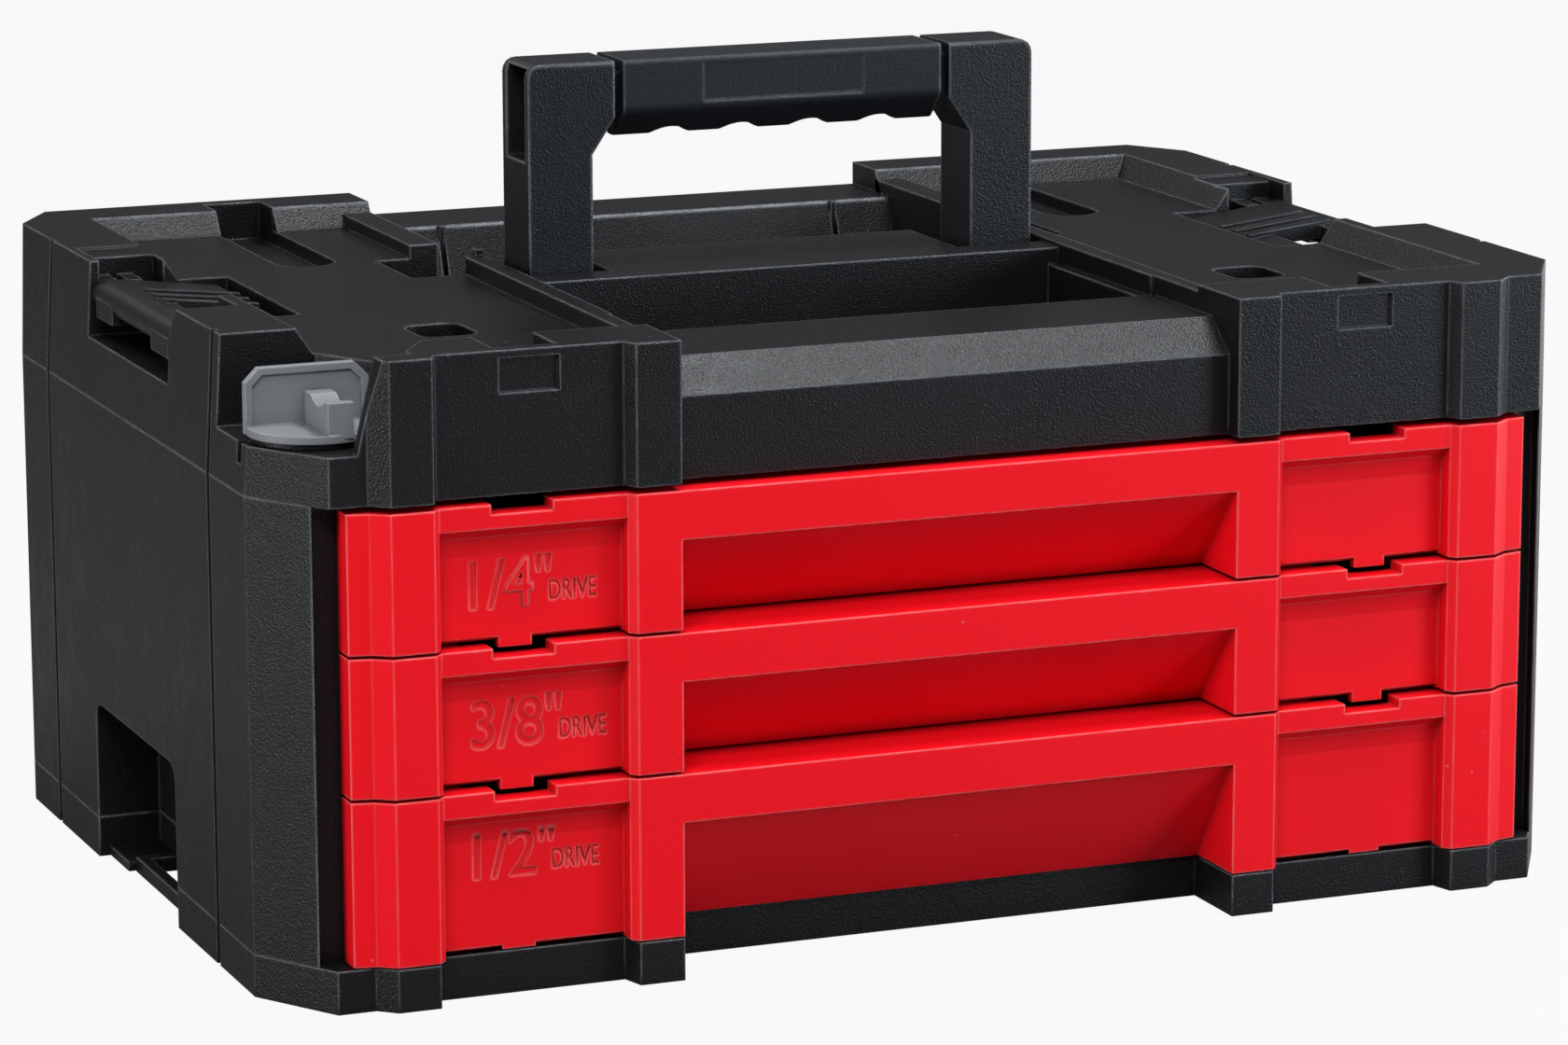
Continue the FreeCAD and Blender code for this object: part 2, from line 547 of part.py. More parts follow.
def drawer_tray(label, bottom, height):
    """Open tray with a flange along each side that slides on the runner, and the lug that the lock stops."""
    body = new_body(f"{label}_drawer_tray")
    body.setExpression("Placement.Base.z", cells(bottom))
    top = f"{height} - tray_drop"
    outer = box(f"-{TRAY_HALF}", TRAY_HALF, deep("tray_front"), deep(TRAY_REAR))
    pad(body, "blank", "XY", [outer], "tray_rise", top)
    inner = box(f"-({TRAY_HALF} - tray_wall)", f"{TRAY_HALF} - tray_wall",
                deep("tray_front + tray_wall"), deep(f"{TRAY_REAR} - tray_wall"))
    pocket(body, "inside", "XY", [inner], "tray_rise + tray_wall", top)
    flange = box(f"{TRAY_HALF} - tray_wall / 2", FLANGE_HALF, deep("tray_front"), deep(TRAY_REAR))
    pad(body, "flanges", "XY", both(flange), f"{top} - tray_flange_thick", top)
    lug = box(f"{TRAY_HALF} - tray_wall / 2", FLANGE_HALF,
              deep("lock_deep + cam_width / 2 + cam_clearance"),
              deep("lock_deep + cam_width / 2 + cam_clearance + lug_length"))
    pad(body, "lock_lug", "XY", [mirrored(lug)], "tray_rise + 3 * tray_wall",
        "tray_rise + 3 * tray_wall + cam_height")


def drawer_insert(label, bottom, height, lanes):
    """Organizer that lies in the tray, with lanes for rows of sockets."""
    body = new_body(f"{label}_drawer_insert")
    body.setExpression("Placement.Base.z", cells(bottom))
    half = f"{TRAY_HALF} - tray_wall - insert_gap"
    near = "tray_front + tray_wall + insert_gap"
    far = f"{TRAY_REAR} - tray_wall - insert_gap"
    low = "tray_rise + tray_wall"
    high = f"{height} - tray_drop - insert_low"
    pad(body, "blank", "XY", [box(f"-({half})", half, deep(near), deep(far))], low, high)
    pitch = f"(({far}) - ({near}) - insert_web) / {lanes}"
    for number in range(int(value(lanes))):
        start = f"{near} + {number} * {pitch}"
        lane = box(f"-({half} - insert_web)", f"{half} - insert_web", deep(f"{start} + insert_web"),
                   deep(f"{start} + {pitch}"))
        pocket(body, f"lane_{number + 1}", "XY", [lane], f"{low} + insert_floor", high)


# ---- cover -------------------------------------------------------------------------------------------

def top_cover():
    """Moulded lid: rim and deck for stacking, front tray, handle block and well, latch and lock bays."""
    body = new_body("top_cover")
    pad(body, "blank", "XY", [box_outline("cover_centre_set", "cover_panel_set")], BODY_TOP, RIM_TOP)
    draft = [("box_width / 2", BODY_TOP), ("box_width / 2 + wall", BODY_TOP),
             ("box_width / 2 + wall", RIM_TOP), ("box_width / 2 - side_draft", RIM_TOP)]
    pocket(body, "side_draft", "XZ", both(draft), deep("-wall"), deep("box_depth + wall"))
    cover_deck(body)
    cover_middle(body)
    cover_latch_bays(body)
    cover_lock_bay(body)
    cover_underside(body)
    side_grooves(body, BODY_TOP, RIM_TOP)
    dent = box(f"{PANEL_MIDDLE} - dent_width / 2", f"{PANEL_MIDDLE} + dent_width / 2",
               f"{RIM_TOP} - dent_low", f"{RIM_TOP} - dent_high")
    pocket(body, "panel_dents", "XZ", both(dent), deep("-wall"), deep("cover_panel_set + dent_depth"))
    pins = "handle_pin_round + pin_gap"
    reach = "(handle_half_width + pin_grip)"
    start = "(handle_half_width - leg_width - pin_grip - slot_front_gap - ridge_drop)"
    for name, low, high in (("right", start, reach), ("left", f"-{reach}", f"-{start}")):
        pocket(body, f"{name}_handle_bore", "YZ", [(deep(HANDLE_MIDDLE), HANDLE_AXIS, pins)], low, high)


def cover_deck(body):
    """The sunk deck inside the rim, its stacking keys, troughs and cups."""
    rim_inner = "(box_width / 2 - side_draft - rim_width)"
    rear_rim = "(box_depth - rear_rim_width)"
    head = [
        ("ridge_far", deep("front_strip")),
        (KEY_NEAR, deep("front_strip")),
        (KEY_NEAR, deep("thin_strip")),
        (KEY_FAR, deep("thin_strip")),
        (KEY_FAR, deep("front_strip")),
    ]
    tail = [
        (f"({rim_inner} - rim_bevel)", deep(rear_rim)),
        (KEY_FAR, deep(rear_rim)),
        (KEY_FAR, deep("box_depth - rear_key_wall")),
        (KEY_NEAR, deep("box_depth - rear_key_wall")),
        (KEY_NEAR, deep(rear_rim)),
        ("well_wall_far", deep(rear_rim)),
        ("well_wall_far", deep("well_notch_rear")),
        ("ridge_far", deep("well_notch_rear")),
    ]
    rim_foot = f"({rim_inner} - rim_bevel)"
    right = head + [(rim_foot, deep("front_strip"))] + tail
    left = head + [
        (LOCK_STRIP, deep("front_strip")),
        (f"{LOCK_STRIP} + lock_strip_taper", deep("thin_strip")),
        (rim_foot, deep("thin_strip")),
    ] + tail
    pocket(body, "deck", "XY", [right, mirrored(left)], DECK, RIM_TOP)
    slant = [(f"{rim_inner} - rim_bevel", DECK), (rim_inner, RIM_TOP), (f"{rim_inner} - rim_bevel", RIM_TOP)]
    pocket(body, "right_rim_slant", "XZ", [slant], deep("front_strip"), deep(rear_rim))
    pocket(body, "left_rim_slant", "XZ", [mirrored(slant)], deep("thin_strip"), deep(rear_rim))
    trough = box(KEY_NEAR, KEY_FAR, deep("trough_end"), deep("box_depth - rear_key_wall"))
    floor = f"{DECK} - trough_drop"
    pocket(body, "troughs", "XY", both(trough), floor, DECK)
    ends = [(f"{sign}{PANEL_MIDDLE}", deep("trough_end"), "key_width / 2") for sign in ("", "-")]
    pocket(body, "trough_ends", "XY", ends, floor, DECK)
    cup = box(f"{PANEL_MIDDLE} - cup_width / 2", f"{PANEL_MIDDLE} + cup_width / 2", deep("cup_front"),
              deep("cup_rear"))
    pocket(body, "cups", "XY", both(cup), floor, DECK)
    round_edges(body, "cup_corners", lambda edge: runs_along(edge, "z")
                and close_to(edge.BoundBox.ZMin, floor)
                and (close_to(edge.BoundBox.YMin, deep("cup_front"))
                     or close_to(edge.BoundBox.YMin, deep("cup_rear"))), "cup_round")


def cover_middle(body):
    """The ledge and bevel at the front, the small tray, the handle's block and the well behind it."""
    centre = "inner_pilaster_near"
    front = [
        (deep("-wall"), RIM_TOP),
        (deep("ledge_rear"), RIM_TOP),
        (deep("ledge_rear"), f"{RIM_TOP} - ledge_drop"),
        (deep("bevel_back"), f"{RIM_TOP} - ledge_drop"),
        (deep("cover_centre_set"), f"{RIM_TOP} - bevel_drop"),
        (deep("-wall"), f"{RIM_TOP} - bevel_drop"),
    ]
    pocket(body, "ledge", "YZ", [front], f"-{centre}", centre)
    ridge = box("ridge_near", "ridge_far", deep("front_strip"), deep("well_notch_front"))
    pocket(body, "ridge_tops", "XY", both(ridge), f"{RIM_TOP} - ridge_drop", RIM_TOP)
    middle = box("-ridge_near", "ridge_near", deep("ledge_rear"), deep("block_rear"))
    pocket(body, "block_top", "XY", [middle], f"{RIM_TOP} - block_drop", RIM_TOP)
    upper = box("-ridge_near", "ridge_near", deep("ledge_rear"), deep("block_front"))
    pocket(body, "tray_upper", "XY", [upper], f"{RIM_TOP} - tray_step_drop", RIM_TOP)
    lower = box("-(ridge_near - tray_step_width)", "ridge_near - tray_step_width", deep("ledge_rear"),
                deep("block_front"))
    pocket(body, "tray", "XY", [lower], f"{RIM_TOP} - tray_depth", RIM_TOP)
    well = [
        ("well_half_width", deep("block_rear")),
        ("well_half_width", deep("well_notch_front")),
        ("well_notch_half", deep("well_notch_front")),
        ("well_notch_half", deep("well_notch_rear")),
        ("well_half_width", deep("well_notch_rear")),
        ("well_half_width", deep(WELL_REAR)),
    ]
    pocket(body, "well", "XY", [well + mirrored(well)[::-1]], f"{RIM_TOP} - well_depth", RIM_TOP)
    shelf = box("-well_half_width", "well_half_width", deep(WELL_REAR), deep("box_depth + wall"))
    pocket(body, "rear_shelf", "XY", [shelf], DECK, RIM_TOP)
    wall_top = box("well_half_width", "well_wall_far", deep("well_notch_rear"),
                   deep("box_depth - rear_rim_width"))
    pocket(body, "well_walls", "XY", both(wall_top), f"{RIM_TOP} - block_drop", RIM_TOP)
    slot = box("slot_near", "ridge_near", deep("handle_front - slot_front_gap"), deep("block_rear + wall"))
    pocket(body, "handle_slots", "XY", both(slot), f"{RIM_TOP} - well_depth", RIM_TOP)
    rib = box("well_rib_place", "well_rib_place + rib", deep(f"{WELL_REAR} - rib"),
              deep(f"{WELL_REAR} + rib"))
    pad(body, "well_ribs", "XY", both(rib), f"{RIM_TOP} - well_depth - rib", DECK)


def cover_latch_bays(body):
    """Each side latch lies in a well that is open at the side and at the top.

    Behind the well the rim is relieved, and an ear and a lug stand in the relief beside the latch's pin.
    """
    floor = f"{RIM_TOP} - latch_well_drop"
    far = "(latch_front + latch_length)"
    opening = [
        (deep("latch_front"), floor),
        (deep(far), floor),
        (deep(far), RIM_TOP),
        (deep("latch_front - latch_opening_slope"), RIM_TOP),
        (deep("latch_front"), f"{DECK} + seat_gap"),
    ]
    inner = "(box_width / 2 - side_draft - latch_inset)"
    outer = "(box_width / 2 + wall)"
    shoulder = f"({LATCH_ACROSS} - latch_shoulder_width)"
    pocket(body, "right_latch_bay", "YZ", [opening], shoulder, outer)
    pocket(body, "left_latch_bay", "YZ", [opening], f"-{outer}", f"-{shoulder}")
    plate_bay = box(inner, f"{shoulder} + wall", deep("latch_front + latch_shoulder"), deep(far))
    pocket(body, "latch_plate_bays", "XY", both(plate_bay), floor, RIM_TOP)
    near = "(box_width / 2 - relief_near)"
    ear = "(box_width / 2 - side_draft - relief_far)"
    relief_end = f"{far} + relief_length"
    deeper = box(near, ear, deep(f"{far} - wall"), deep(relief_end))
    pocket(body, "pin_reliefs", "XY", both(deeper), f"{RIM_TOP} - relief_drop", RIM_TOP)
    wider = box(ear, "box_width / 2 - side_draft - wall", deep(far), deep(relief_end))
    pocket(body, "ear_tops", "XY", both(wider), f"{RIM_TOP} - relief_ear_drop", RIM_TOP)
    place = "(box_width / 2 - relief_lug_place)"
    lug = box(place, f"{place} + relief_lug_width", deep(far), deep(f"{relief_end} + wall / 2"))
    pad(body, "relief_lugs", "XY", both(lug), f"{RIM_TOP} - relief_drop - wall / 2",
        f"{RIM_TOP} - relief_ear_drop")
    step = box(near, "box_width / 2 - side_draft - wall", deep(relief_end),
               deep(f"{relief_end} + rim_step_length"))
    pocket(body, "rim_steps", "XY", both(step), f"{RIM_TOP} - rim_step_drop", RIM_TOP)
    bores = [(f"{sign}{LATCH_ACROSS}", LATCH_AXIS, "latch_pin_round + pin_gap") for sign in ("", "-")]
    pocket(body, "latch_bores", "XZ", bores, deep("latch_front - latch_cheek"), deep(f"{far} + latch_cheek"))


def cover_lock_bay(body):
    """The front left corner is cut away above a floor that carries the lock's knob."""
    floor = LOCK_FLOOR
    bay = [
        ("-(box_width / 2 + wall)", deep("lock_bay_rear")),
        (f"-({LOCK_BAY_NEAR} + lock_bay_skew)", deep("lock_bay_rear")),
        (f"-{LOCK_BAY_NEAR}", deep("lock_bay_rear - lock_bay_slant")),
        (f"-{LOCK_BAY_NEAR}", deep("thin_strip")),
        (f"-{LOCK_WALL}", deep("thin_strip")),
        ("-(box_width / 2 + wall)", deep("thin_strip")),
    ]
    pocket(body, "lock_bay", "XY", [bay], floor, RIM_TOP)
    corner = [
        (f"-{LOCK_WALL}", floor),
        (f"-({LOCK_WALL} - lock_wall_lean)", RIM_TOP),
        ("-(box_width / 2 + wall)", RIM_TOP),
        ("-(box_width / 2 + wall)", floor),
    ]
    pocket(body, "lock_corner", "XZ", [corner], deep("-wall"), deep("thin_strip + seat_gap"))
    slit = box("-(box_width / 2 + wall)", "-(box_width / 2 - side_draft - wall / 2)",
               deep("lock_slit_front"), deep("lock_slit_front + lock_slit_width"))
    pocket(body, "lock_slit", "XY", [slit], f"{floor} - lock_slit_drop", f"{floor} + seat_gap")


def cover_underside(body):
    """The lid is hollow below, with walls and floors of one thickness."""
    inner = "(box_width / 2 - side_draft - latch_inset - wall)"
    side_wall = "(box_width / 2 - side_draft - wall)"
    under_middle = f"{RIM_TOP} - tray_depth - wall"
    under_deck = f"{DECK} - trough_drop - wall"
    far = "(latch_front + latch_length)"
    middle = box("-(well_notch_half + wall)", "well_notch_half + wall", deep("front_strip"),
                 deep("box_depth - wall"))
    pocket(body, "under_middle", "XY", [middle], BODY_TOP, under_middle)
    deck = [
        ("well_notch_half + wall", deep("front_strip / 2")),
        (f"{LOCK_BAY_NEAR} - wall", deep("front_strip / 2")),
        (f"{LOCK_BAY_NEAR} - wall", deep("lock_bay_rear + wall")),
        (inner, deep("lock_bay_rear + wall")),
        (inner, deep("box_depth - 2 * rear_key_wall")),
        ("well_notch_half + wall", deep("box_depth - 2 * rear_key_wall")),
    ]
    pocket(body, "under_deck", "XY", both(deck), BODY_TOP, under_deck)
    edge = box(f"{inner} - wall / 2", side_wall, deep("lock_bay_rear + wall"),
               deep("box_depth - rear_cut_deep - 2 * wall"))
    pocket(body, "under_latches", "XY", both(edge), BODY_TOP, f"{RIM_TOP} - latch_well_drop - wall")
    nose = box("-(ridge_near - wall)", "ridge_near - wall", deep("cover_centre_set + 2 * wall"),
               deep("ledge_rear - wall"))
    pocket(body, "under_ledge", "XY", [nose], BODY_TOP, f"{RIM_TOP} - bevel_drop - wall")
    shaft = (f"-{LOCK_ACROSS}", deep("lock_deep"), SHAFT_BORE)
    pocket(body, "lock_bore", "XY", [shaft], BODY_TOP, LOCK_FLOOR)


# ---- handle ------------------------------------------------------------------------------------------

def handle_frame():
    """Two legs with rounded feet, corner blocks with open hollows, and the core inside the grip."""
    body = new_body("handle_frame")
    rear = "handle_front + handle_thick"
    knee = f"{HANDLE_TOP} - handle_knee_drop"
    leg = [
        ("handle_half_width", HANDLE_AXIS),
        ("handle_half_width", HANDLE_TOP),
        ("handle_half_width - leg_width - handle_knee", HANDLE_TOP),
        ("handle_half_width - leg_width - handle_knee", f"{knee} + knee_rise"),
        ("handle_half_width - leg_width", knee),
        ("handle_half_width - leg_width", HANDLE_AXIS),
    ]
    core = [
        (deep("handle_front + core_inset"), f"{HANDLE_TOP} - grip_height + 2 * core_inset"),
        (deep("handle_front + core_inset"), f"{HANDLE_TOP} - core_inset"),
        (deep(f"{rear} - core_inset"), f"{HANDLE_TOP} - core_inset"),
        (deep(f"{rear} - core_inset"), f"{HANDLE_TOP} - grip_height + 2 * core_inset"),
    ]
    half_core = "(handle_half_width - leg_width / 2)"
    pad(body, "core", "YZ", [core], f"-{half_core}", half_core)
    pad(body, "legs", "XZ", both(leg), deep("handle_front"), deep(rear))
    foot = (deep(HANDLE_MIDDLE), HANDLE_AXIS, "handle_thick / 2")
    bore = (deep(HANDLE_MIDDLE), HANDLE_AXIS, "handle_pin_round + pin_gap")
    hollow = [
        (deep("handle_front + hollow_wall"), f"{HANDLE_TOP} - hollow_wall / 2 - hollow_height"),
        (deep(f"{rear} - hollow_wall"), f"{HANDLE_TOP} - hollow_wall / 2 - hollow_height"),
        (deep(f"{rear} - hollow_wall"), f"{HANDLE_TOP} - hollow_wall / 2"),
        (deep("handle_front + hollow_wall"), f"{HANDLE_TOP} - hollow_wall / 2"),
    ]
    ends = {"right": ("handle_half_width - leg_width", "handle_half_width"),
            "left": ("-handle_half_width", "-(handle_half_width - leg_width)")}
    for name, (low, high) in ends.items():
        pad(body, f"{name}_foot", "YZ", [foot], low, high)
        pocket(body, f"{name}_bore", "YZ", [bore], low, high)
    deepest = "(handle_half_width - hollow_depth)"
    pocket(body, "right_hollow", "YZ", [hollow], deepest, "handle_half_width")
    pocket(body, "left_hollow", "YZ", [hollow], "-handle_half_width", f"-{deepest}")
    round_edges(body, "soft_tops", lambda edge: runs_along(edge, "x")
                and close_to(edge.BoundBox.ZMax, HANDLE_TOP), "hollow_wall / 3")


def handle_grip():
    """Sleeve over the core: flat above, rounded below, with four finger waves."""
    body = new_body("handle_grip")
    rear = "handle_front + handle_thick"
    bottom = f"{HANDLE_TOP} - grip_height"
    outer = [
        (deep("handle_front"), f"{bottom} + grip_round"),
        (deep("handle_front"), HANDLE_TOP),
        (deep(rear), HANDLE_TOP),
        (deep(rear), f"{bottom} + grip_round"),
        (deep(f"{rear} - grip_round"), bottom),
        (deep("handle_front + grip_round"), bottom),
    ]
    pad(body, "sleeve", "YZ", [outer], "-grip_half_width", "grip_half_width")
    round_edges(body, "palm", lambda edge: runs_along(edge, "x")
                and edge.BoundBox.ZMax < value(f"{bottom} + grip_round + seat_gap"), "grip_round / 2")
    round_edges(body, "top", lambda edge: runs_along(edge, "x")
                and close_to(edge.BoundBox.ZMax, HANDLE_TOP), "hollow_wall / 3")
    core = [
        (deep("handle_front + core_inset"), f"{bottom} + 2 * core_inset"),
        (deep("handle_front + core_inset"), f"{HANDLE_TOP} - core_inset"),
        (deep(f"{rear} - core_inset"), f"{HANDLE_TOP} - core_inset"),
        (deep(f"{rear} - core_inset"), f"{bottom} + 2 * core_inset"),
    ]
    pocket(body, "core", "YZ", [core], "-grip_half_width", "grip_half_width")
    waves = [(f"{place} * finger_pitch", f"{bottom} - finger_round + finger_depth", "finger_round")
             for place in (-1.5, -0.5, 0.5, 1.5)]
    pocket(body, "finger_waves", "XZ", waves, deep("handle_front"), deep(rear))
    panel = box("-grip_panel_half", "grip_panel_half", f"{bottom} + grip_round + rib",
                f"{HANDLE_TOP} - rib")
    pocket(body, "front_panel", "XZ", [panel], deep("handle_front"), deep("handle_front + seat_gap"))


def rod(name, radius, length, axis, x, y, z):
    """A plain pin along an axis, starting at the place given."""
    pin = doc.addObject("Part::Cylinder", name)
    pin.Label = name
    bind(pin, Radius=radius, Height=length)
    turn = {"x": FreeCAD.Rotation(FreeCAD.Vector(0, 1, 0), 90),
            "y": FreeCAD.Rotation(FreeCAD.Vector(1, 0, 0), -90)}[axis]
    pin.Placement = FreeCAD.Placement(FreeCAD.Vector(0, 0, 0), turn)
    for letter, text in zip("xyz", (x, y, z)):
        pin.setExpression(f"Placement.Base.{letter}", cells(text))
    pieces.append(pin)


def handle_pins():
    reach = "(handle_half_width + pin_grip - seat_gap)"
    length = "(leg_width + 2 * pin_grip - 2 * seat_gap)"
    for name, start in (("right", f"{reach} - {length}"), ("left", f"-{reach}")):
        rod(f"{name}_handle_pin", "handle_pin_round", length, "x", start, deep(HANDLE_MIDDLE), HANDLE_AXIS)


# ---- side latches ------------------------------------------------------------------------------------

def latch(name, side):
    """Plate on a barrel at the outer edge, folded in over its well, with a lip, a window and grip ribs.

    Two teeth below the barrel hook under the catch of the box that stands on top.
    """
    body = new_body(f"{name}_latch")
    front = "(latch_front + latch_end_gap)"
    rear = "(latch_front + latch_length - latch_end_gap)"
    plate_front = f"({front} + latch_shoulder)"
    top = f"{LATCH_AXIS} + latch_barrel_round"
    tip = f"{LATCH_ACROSS} - latch_reach"
    plate = [
        (LATCH_ACROSS, top),
        (tip, f"{top} - latch_tilt_drop"),
        (tip, f"{top} - latch_tilt_drop - latch_plate_thick - latch_lip"),
        (f"{tip} + latch_plate_thick", f"{top} - latch_tilt_drop - latch_plate_thick - latch_lip"),
        (f"{tip} + latch_plate_thick", f"{top} - latch_tilt_drop - latch_plate_thick"),
        (LATCH_ACROSS, f"{top} - 1.5 * latch_plate_thick"),
    ]
    pad(body, "plate", "XZ", [on_side(side, plate)], deep(plate_front), deep(rear))
    across = LATCH_ACROSS if side > 0 else f"-{LATCH_ACROSS}"
    pad(body, "barrel", "XZ", [(across, LATCH_AXIS, "latch_barrel_round")], deep(front), deep(rear))
    tooth = [
        (LATCH_ACROSS, f"{LATCH_AXIS} - latch_pin_round - pin_gap"),
        (f"{LATCH_ACROSS} + latch_tooth_reach", LATCH_AXIS),
        (f"{LATCH_ACROSS} + latch_tooth_reach", f"{LATCH_AXIS} - latch_tooth_drop"),
        (LATCH_ACROSS, f"{LATCH_AXIS} - latch_tooth_drop"),
    ]
    starts = {"front": f"({front} + latch_tooth_front)",
              "rear": f"({rear} - latch_tooth_front - latch_tooth_length)"}
    for end, start in starts.items():
        pad(body, f"{end}_tooth", "XZ", [on_side(side, tooth)], deep(start),
            deep(f"{start} + latch_tooth_length"))
    for number in range(3):
        place = f"(latch_front + latch_rib_place - {number} * latch_rib_pitch)"
        rib = [
            (tip, f"{top} - latch_tilt_drop - latch_plate_thick / 2"),
            (tip, f"{top} - latch_tilt_drop + latch_rib_height"),
            (f"{LATCH_ACROSS} - latch_barrel_round", f"{top} + latch_rib_height / 2"),
            (f"{LATCH_ACROSS} - latch_barrel_round", f"{top} - latch_plate_thick"),
        ]
        pad(body, f"rib_{number + 1}", "XZ", [on_side(side, rib)], deep(f"{place} - latch_rib_width"),
            deep(place))
    window_front = f"{plate_front} + latch_front_bar"
    window = box(f"{tip} + latch_bar", f"{LATCH_ACROSS} - latch_bar", deep(window_front),
                 deep(f"{window_front} + latch_window_length"))
    pocket(body, "window", "XY", [on_side(side, window)], f"{LATCH_AXIS} - latch_barrel_round",
           f"{top} + latch_rib_height")
    pocket(body, "bore", "XZ", [(across, LATCH_AXIS, "latch_pin_round + pin_gap")], deep(front), deep(rear))


def latch_pins():
    length = "(latch_length + 2 * latch_cheek - 2 * seat_gap)"
    for name, side in SIDES.items():
        across = LATCH_ACROSS if side > 0 else f"-{LATCH_ACROSS}"
        rod(f"{name}_latch_pin", "latch_pin_round", length, "y", across,
            deep("latch_front - latch_cheek + seat_gap"), LATCH_AXIS)


# ---- drawer lock -------------------------------------------------------------------------------------

def lock_shaft():
    """Upright shaft in the left front corner, with a cam beside each tray."""
    body = new_body("lock_shaft")
    x, y = f"-{LOCK_ACROSS}", deep("lock_deep")
    pad(body, "shaft", "XY", [(x, y, "lock_shaft_round")], "base_height - lock_socket + seat_gap",
        f"{LOCK_FLOOR} + lock_lift + lock_disc_thick + lock_lift + lock_floor_thick")
    cam = box(f"-({LOCK_ACROSS} + cam_width / 2)", f"-({LOCK_ACROSS} - cam_width / 2)", y,
              deep("lock_deep + cam_reach"))
    for label, bottom, height in DRAWERS:
        pad(body, f"{label}_cam", "XY", [cam], f"{bottom} + tray_rise + 3 * tray_wall",
            f"{bottom} + tray_rise + 3 * tray_wall + cam_height")


def lock_disc():
    body = new_body("lock_disc")
    x, y = f"-{LOCK_ACROSS}", deep("lock_deep")
    low = f"{LOCK_FLOOR} + lock_lift"
    pad(body, "disc", "XY", [(x, y, "lock_round - rib / 2")], low, f"{low} + lock_disc_thick")
    pocket(body, "bore", "XY", [(x, y, SHAFT_BORE)], low, f"{low} + lock_disc_thick")


def lock_knob():
    """Half round floor, upright plate and a scooped finger tab."""
    body = new_body("lock_knob")
    x, y = f"-{LOCK_ACROSS}", deep("lock_deep")
    low = f"({LOCK_FLOOR} + 2 * lock_lift + lock_disc_thick)"
    floor = f"({low} + lock_floor_thick)"
    pad(body, "floor", "XY", [(x, y, "lock_round")], low, floor)
    behind = box(f"-({LOCK_ACROSS} + 2 * lock_round)", f"-({LOCK_ACROSS} - 2 * lock_round)",
                 deep("lock_deep + lock_plate_back"), deep("lock_deep + 2 * lock_round"))
    pocket(body, "rear_cut", "XY", [behind], low, floor)
    middle = f"({LOCK_ACROSS} + lock_plate_shift)"
    top = f"{floor} + lock_plate_height"
    front = "lock_deep + lock_plate_back - lock_plate_thick"
    plate = plate_corners(middle, "lock_plate_half", low, top, "lock_plate_cut")
    pad(body, "plate", "XZ", [plate], deep(front), deep("lock_deep + lock_plate_back"))
    panel = plate_corners(middle, "(lock_plate_half - lock_border)", floor, f"({top} - lock_border)",
                          "(lock_plate_cut - lock_border / 2)")
    pocket(body, "plate_panel", "XZ", [panel], deep(front), deep(f"{front} + lock_border_depth"))
    across = f"({LOCK_ACROSS} - lock_tab_shift)"
    tab = box(f"-({across} + lock_tab_thick / 2)", f"-({across} - lock_tab_thick / 2)",
              deep("lock_deep - lock_tab_reach"), deep("lock_deep + lock_plate_back / 2"))
    pad(body, "tab", "XY", [tab], f"{low} + lock_floor_thick / 2", f"{floor} + lock_tab_height")
    scoop = (deep("lock_deep - lock_tab_reach / 2"),
             f"{floor} + lock_tab_height + lock_tab_scoop - lock_tab_dip", "lock_tab_scoop")
    pocket(body, "scoop", "YZ", [scoop], f"-({across} + lock_tab_thick)", f"-({across} - lock_tab_thick)")
    pocket(body, "bore", "XY", [(x, y, SHAFT_BORE)], low, floor)


def plate_corners(middle, half, low, high, cut):
    """The upright plate seen from the front, with its two upper corners cut off."""
    return [
        (f"-({middle} + {half})", low),
        (f"-({middle} - {half})", low),
        (f"-({middle} - {half})", f"{high} - {cut}"),
        (f"-({middle} - {half} + {cut})", high),
        (f"-({middle} + {half} - {cut})", high),
        (f"-({middle} + {half})", f"{high} - {cut}"),
    ]


# ---- build, check and write --------------------------------------------------------------------------

def build():
    base_tray()
    for name, side in SIDES.items():
        side_panel(name, side)
        runner(name, side)
    rear_panel()
    for label, bottom, height in DRAWERS:
        drawer_front(label, bottom, height)
        drawer_tray(label, bottom, height)
        drawer_insert(label, bottom, height, "large_lanes" if label == "bottom" else "small_lanes")
    top_cover()
    handle_frame()
    handle_grip()
    handle_pins()
    for name, side in SIDES.items():
        latch(name, side)
    latch_pins()
    lock_shaft()
    lock_disc()
    lock_knob()
    base_screws()
    doc.recompute()


def check():
    for thing in doc.Objects:
        if {"Invalid", "Error"} & set(thing.State):
            raise RuntimeError(f"{thing.Label} failed: {thing.State}")
        if thing.TypeId in ("PartDesign::Pad", "PartDesign::Pocket") and thing.BaseFeature:
            change = thing.Shape.Volume - thing.BaseFeature.Shape.Volume
            if (change <= 0) == (thing.TypeId == "PartDesign::Pad"):
                raise RuntimeError(f"{thing.Label} changes nothing: {change:.3f}")
    for piece in pieces:
        if piece.Shape.isNull() or not piece.Shape.isValid():
            raise RuntimeError(f"{piece.Label} has no valid shape")


def write():
    os.makedirs("parts", exist_ok=True)
    for piece in pieces:
        piece.Shape.exportStep(f"parts/{piece.Label}.step")
        box_of = piece.Shape.BoundBox
        print(f"{piece.Label:24s} solids {len(piece.Shape.Solids)} volume {piece.Shape.Volume:12.1f} "
              f"x {box_of.XMin:.1f} {box_of.XMax:.1f} y {box_of.YMin:.1f} {box_of.YMax:.1f} "
              f"z {box_of.ZMin:.1f} {box_of.ZMax:.1f}")


build()
check()
write()
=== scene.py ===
"""Looks of a stacking tool box with red drawers, a folding handle, side latches and a drawer lock."""
import math

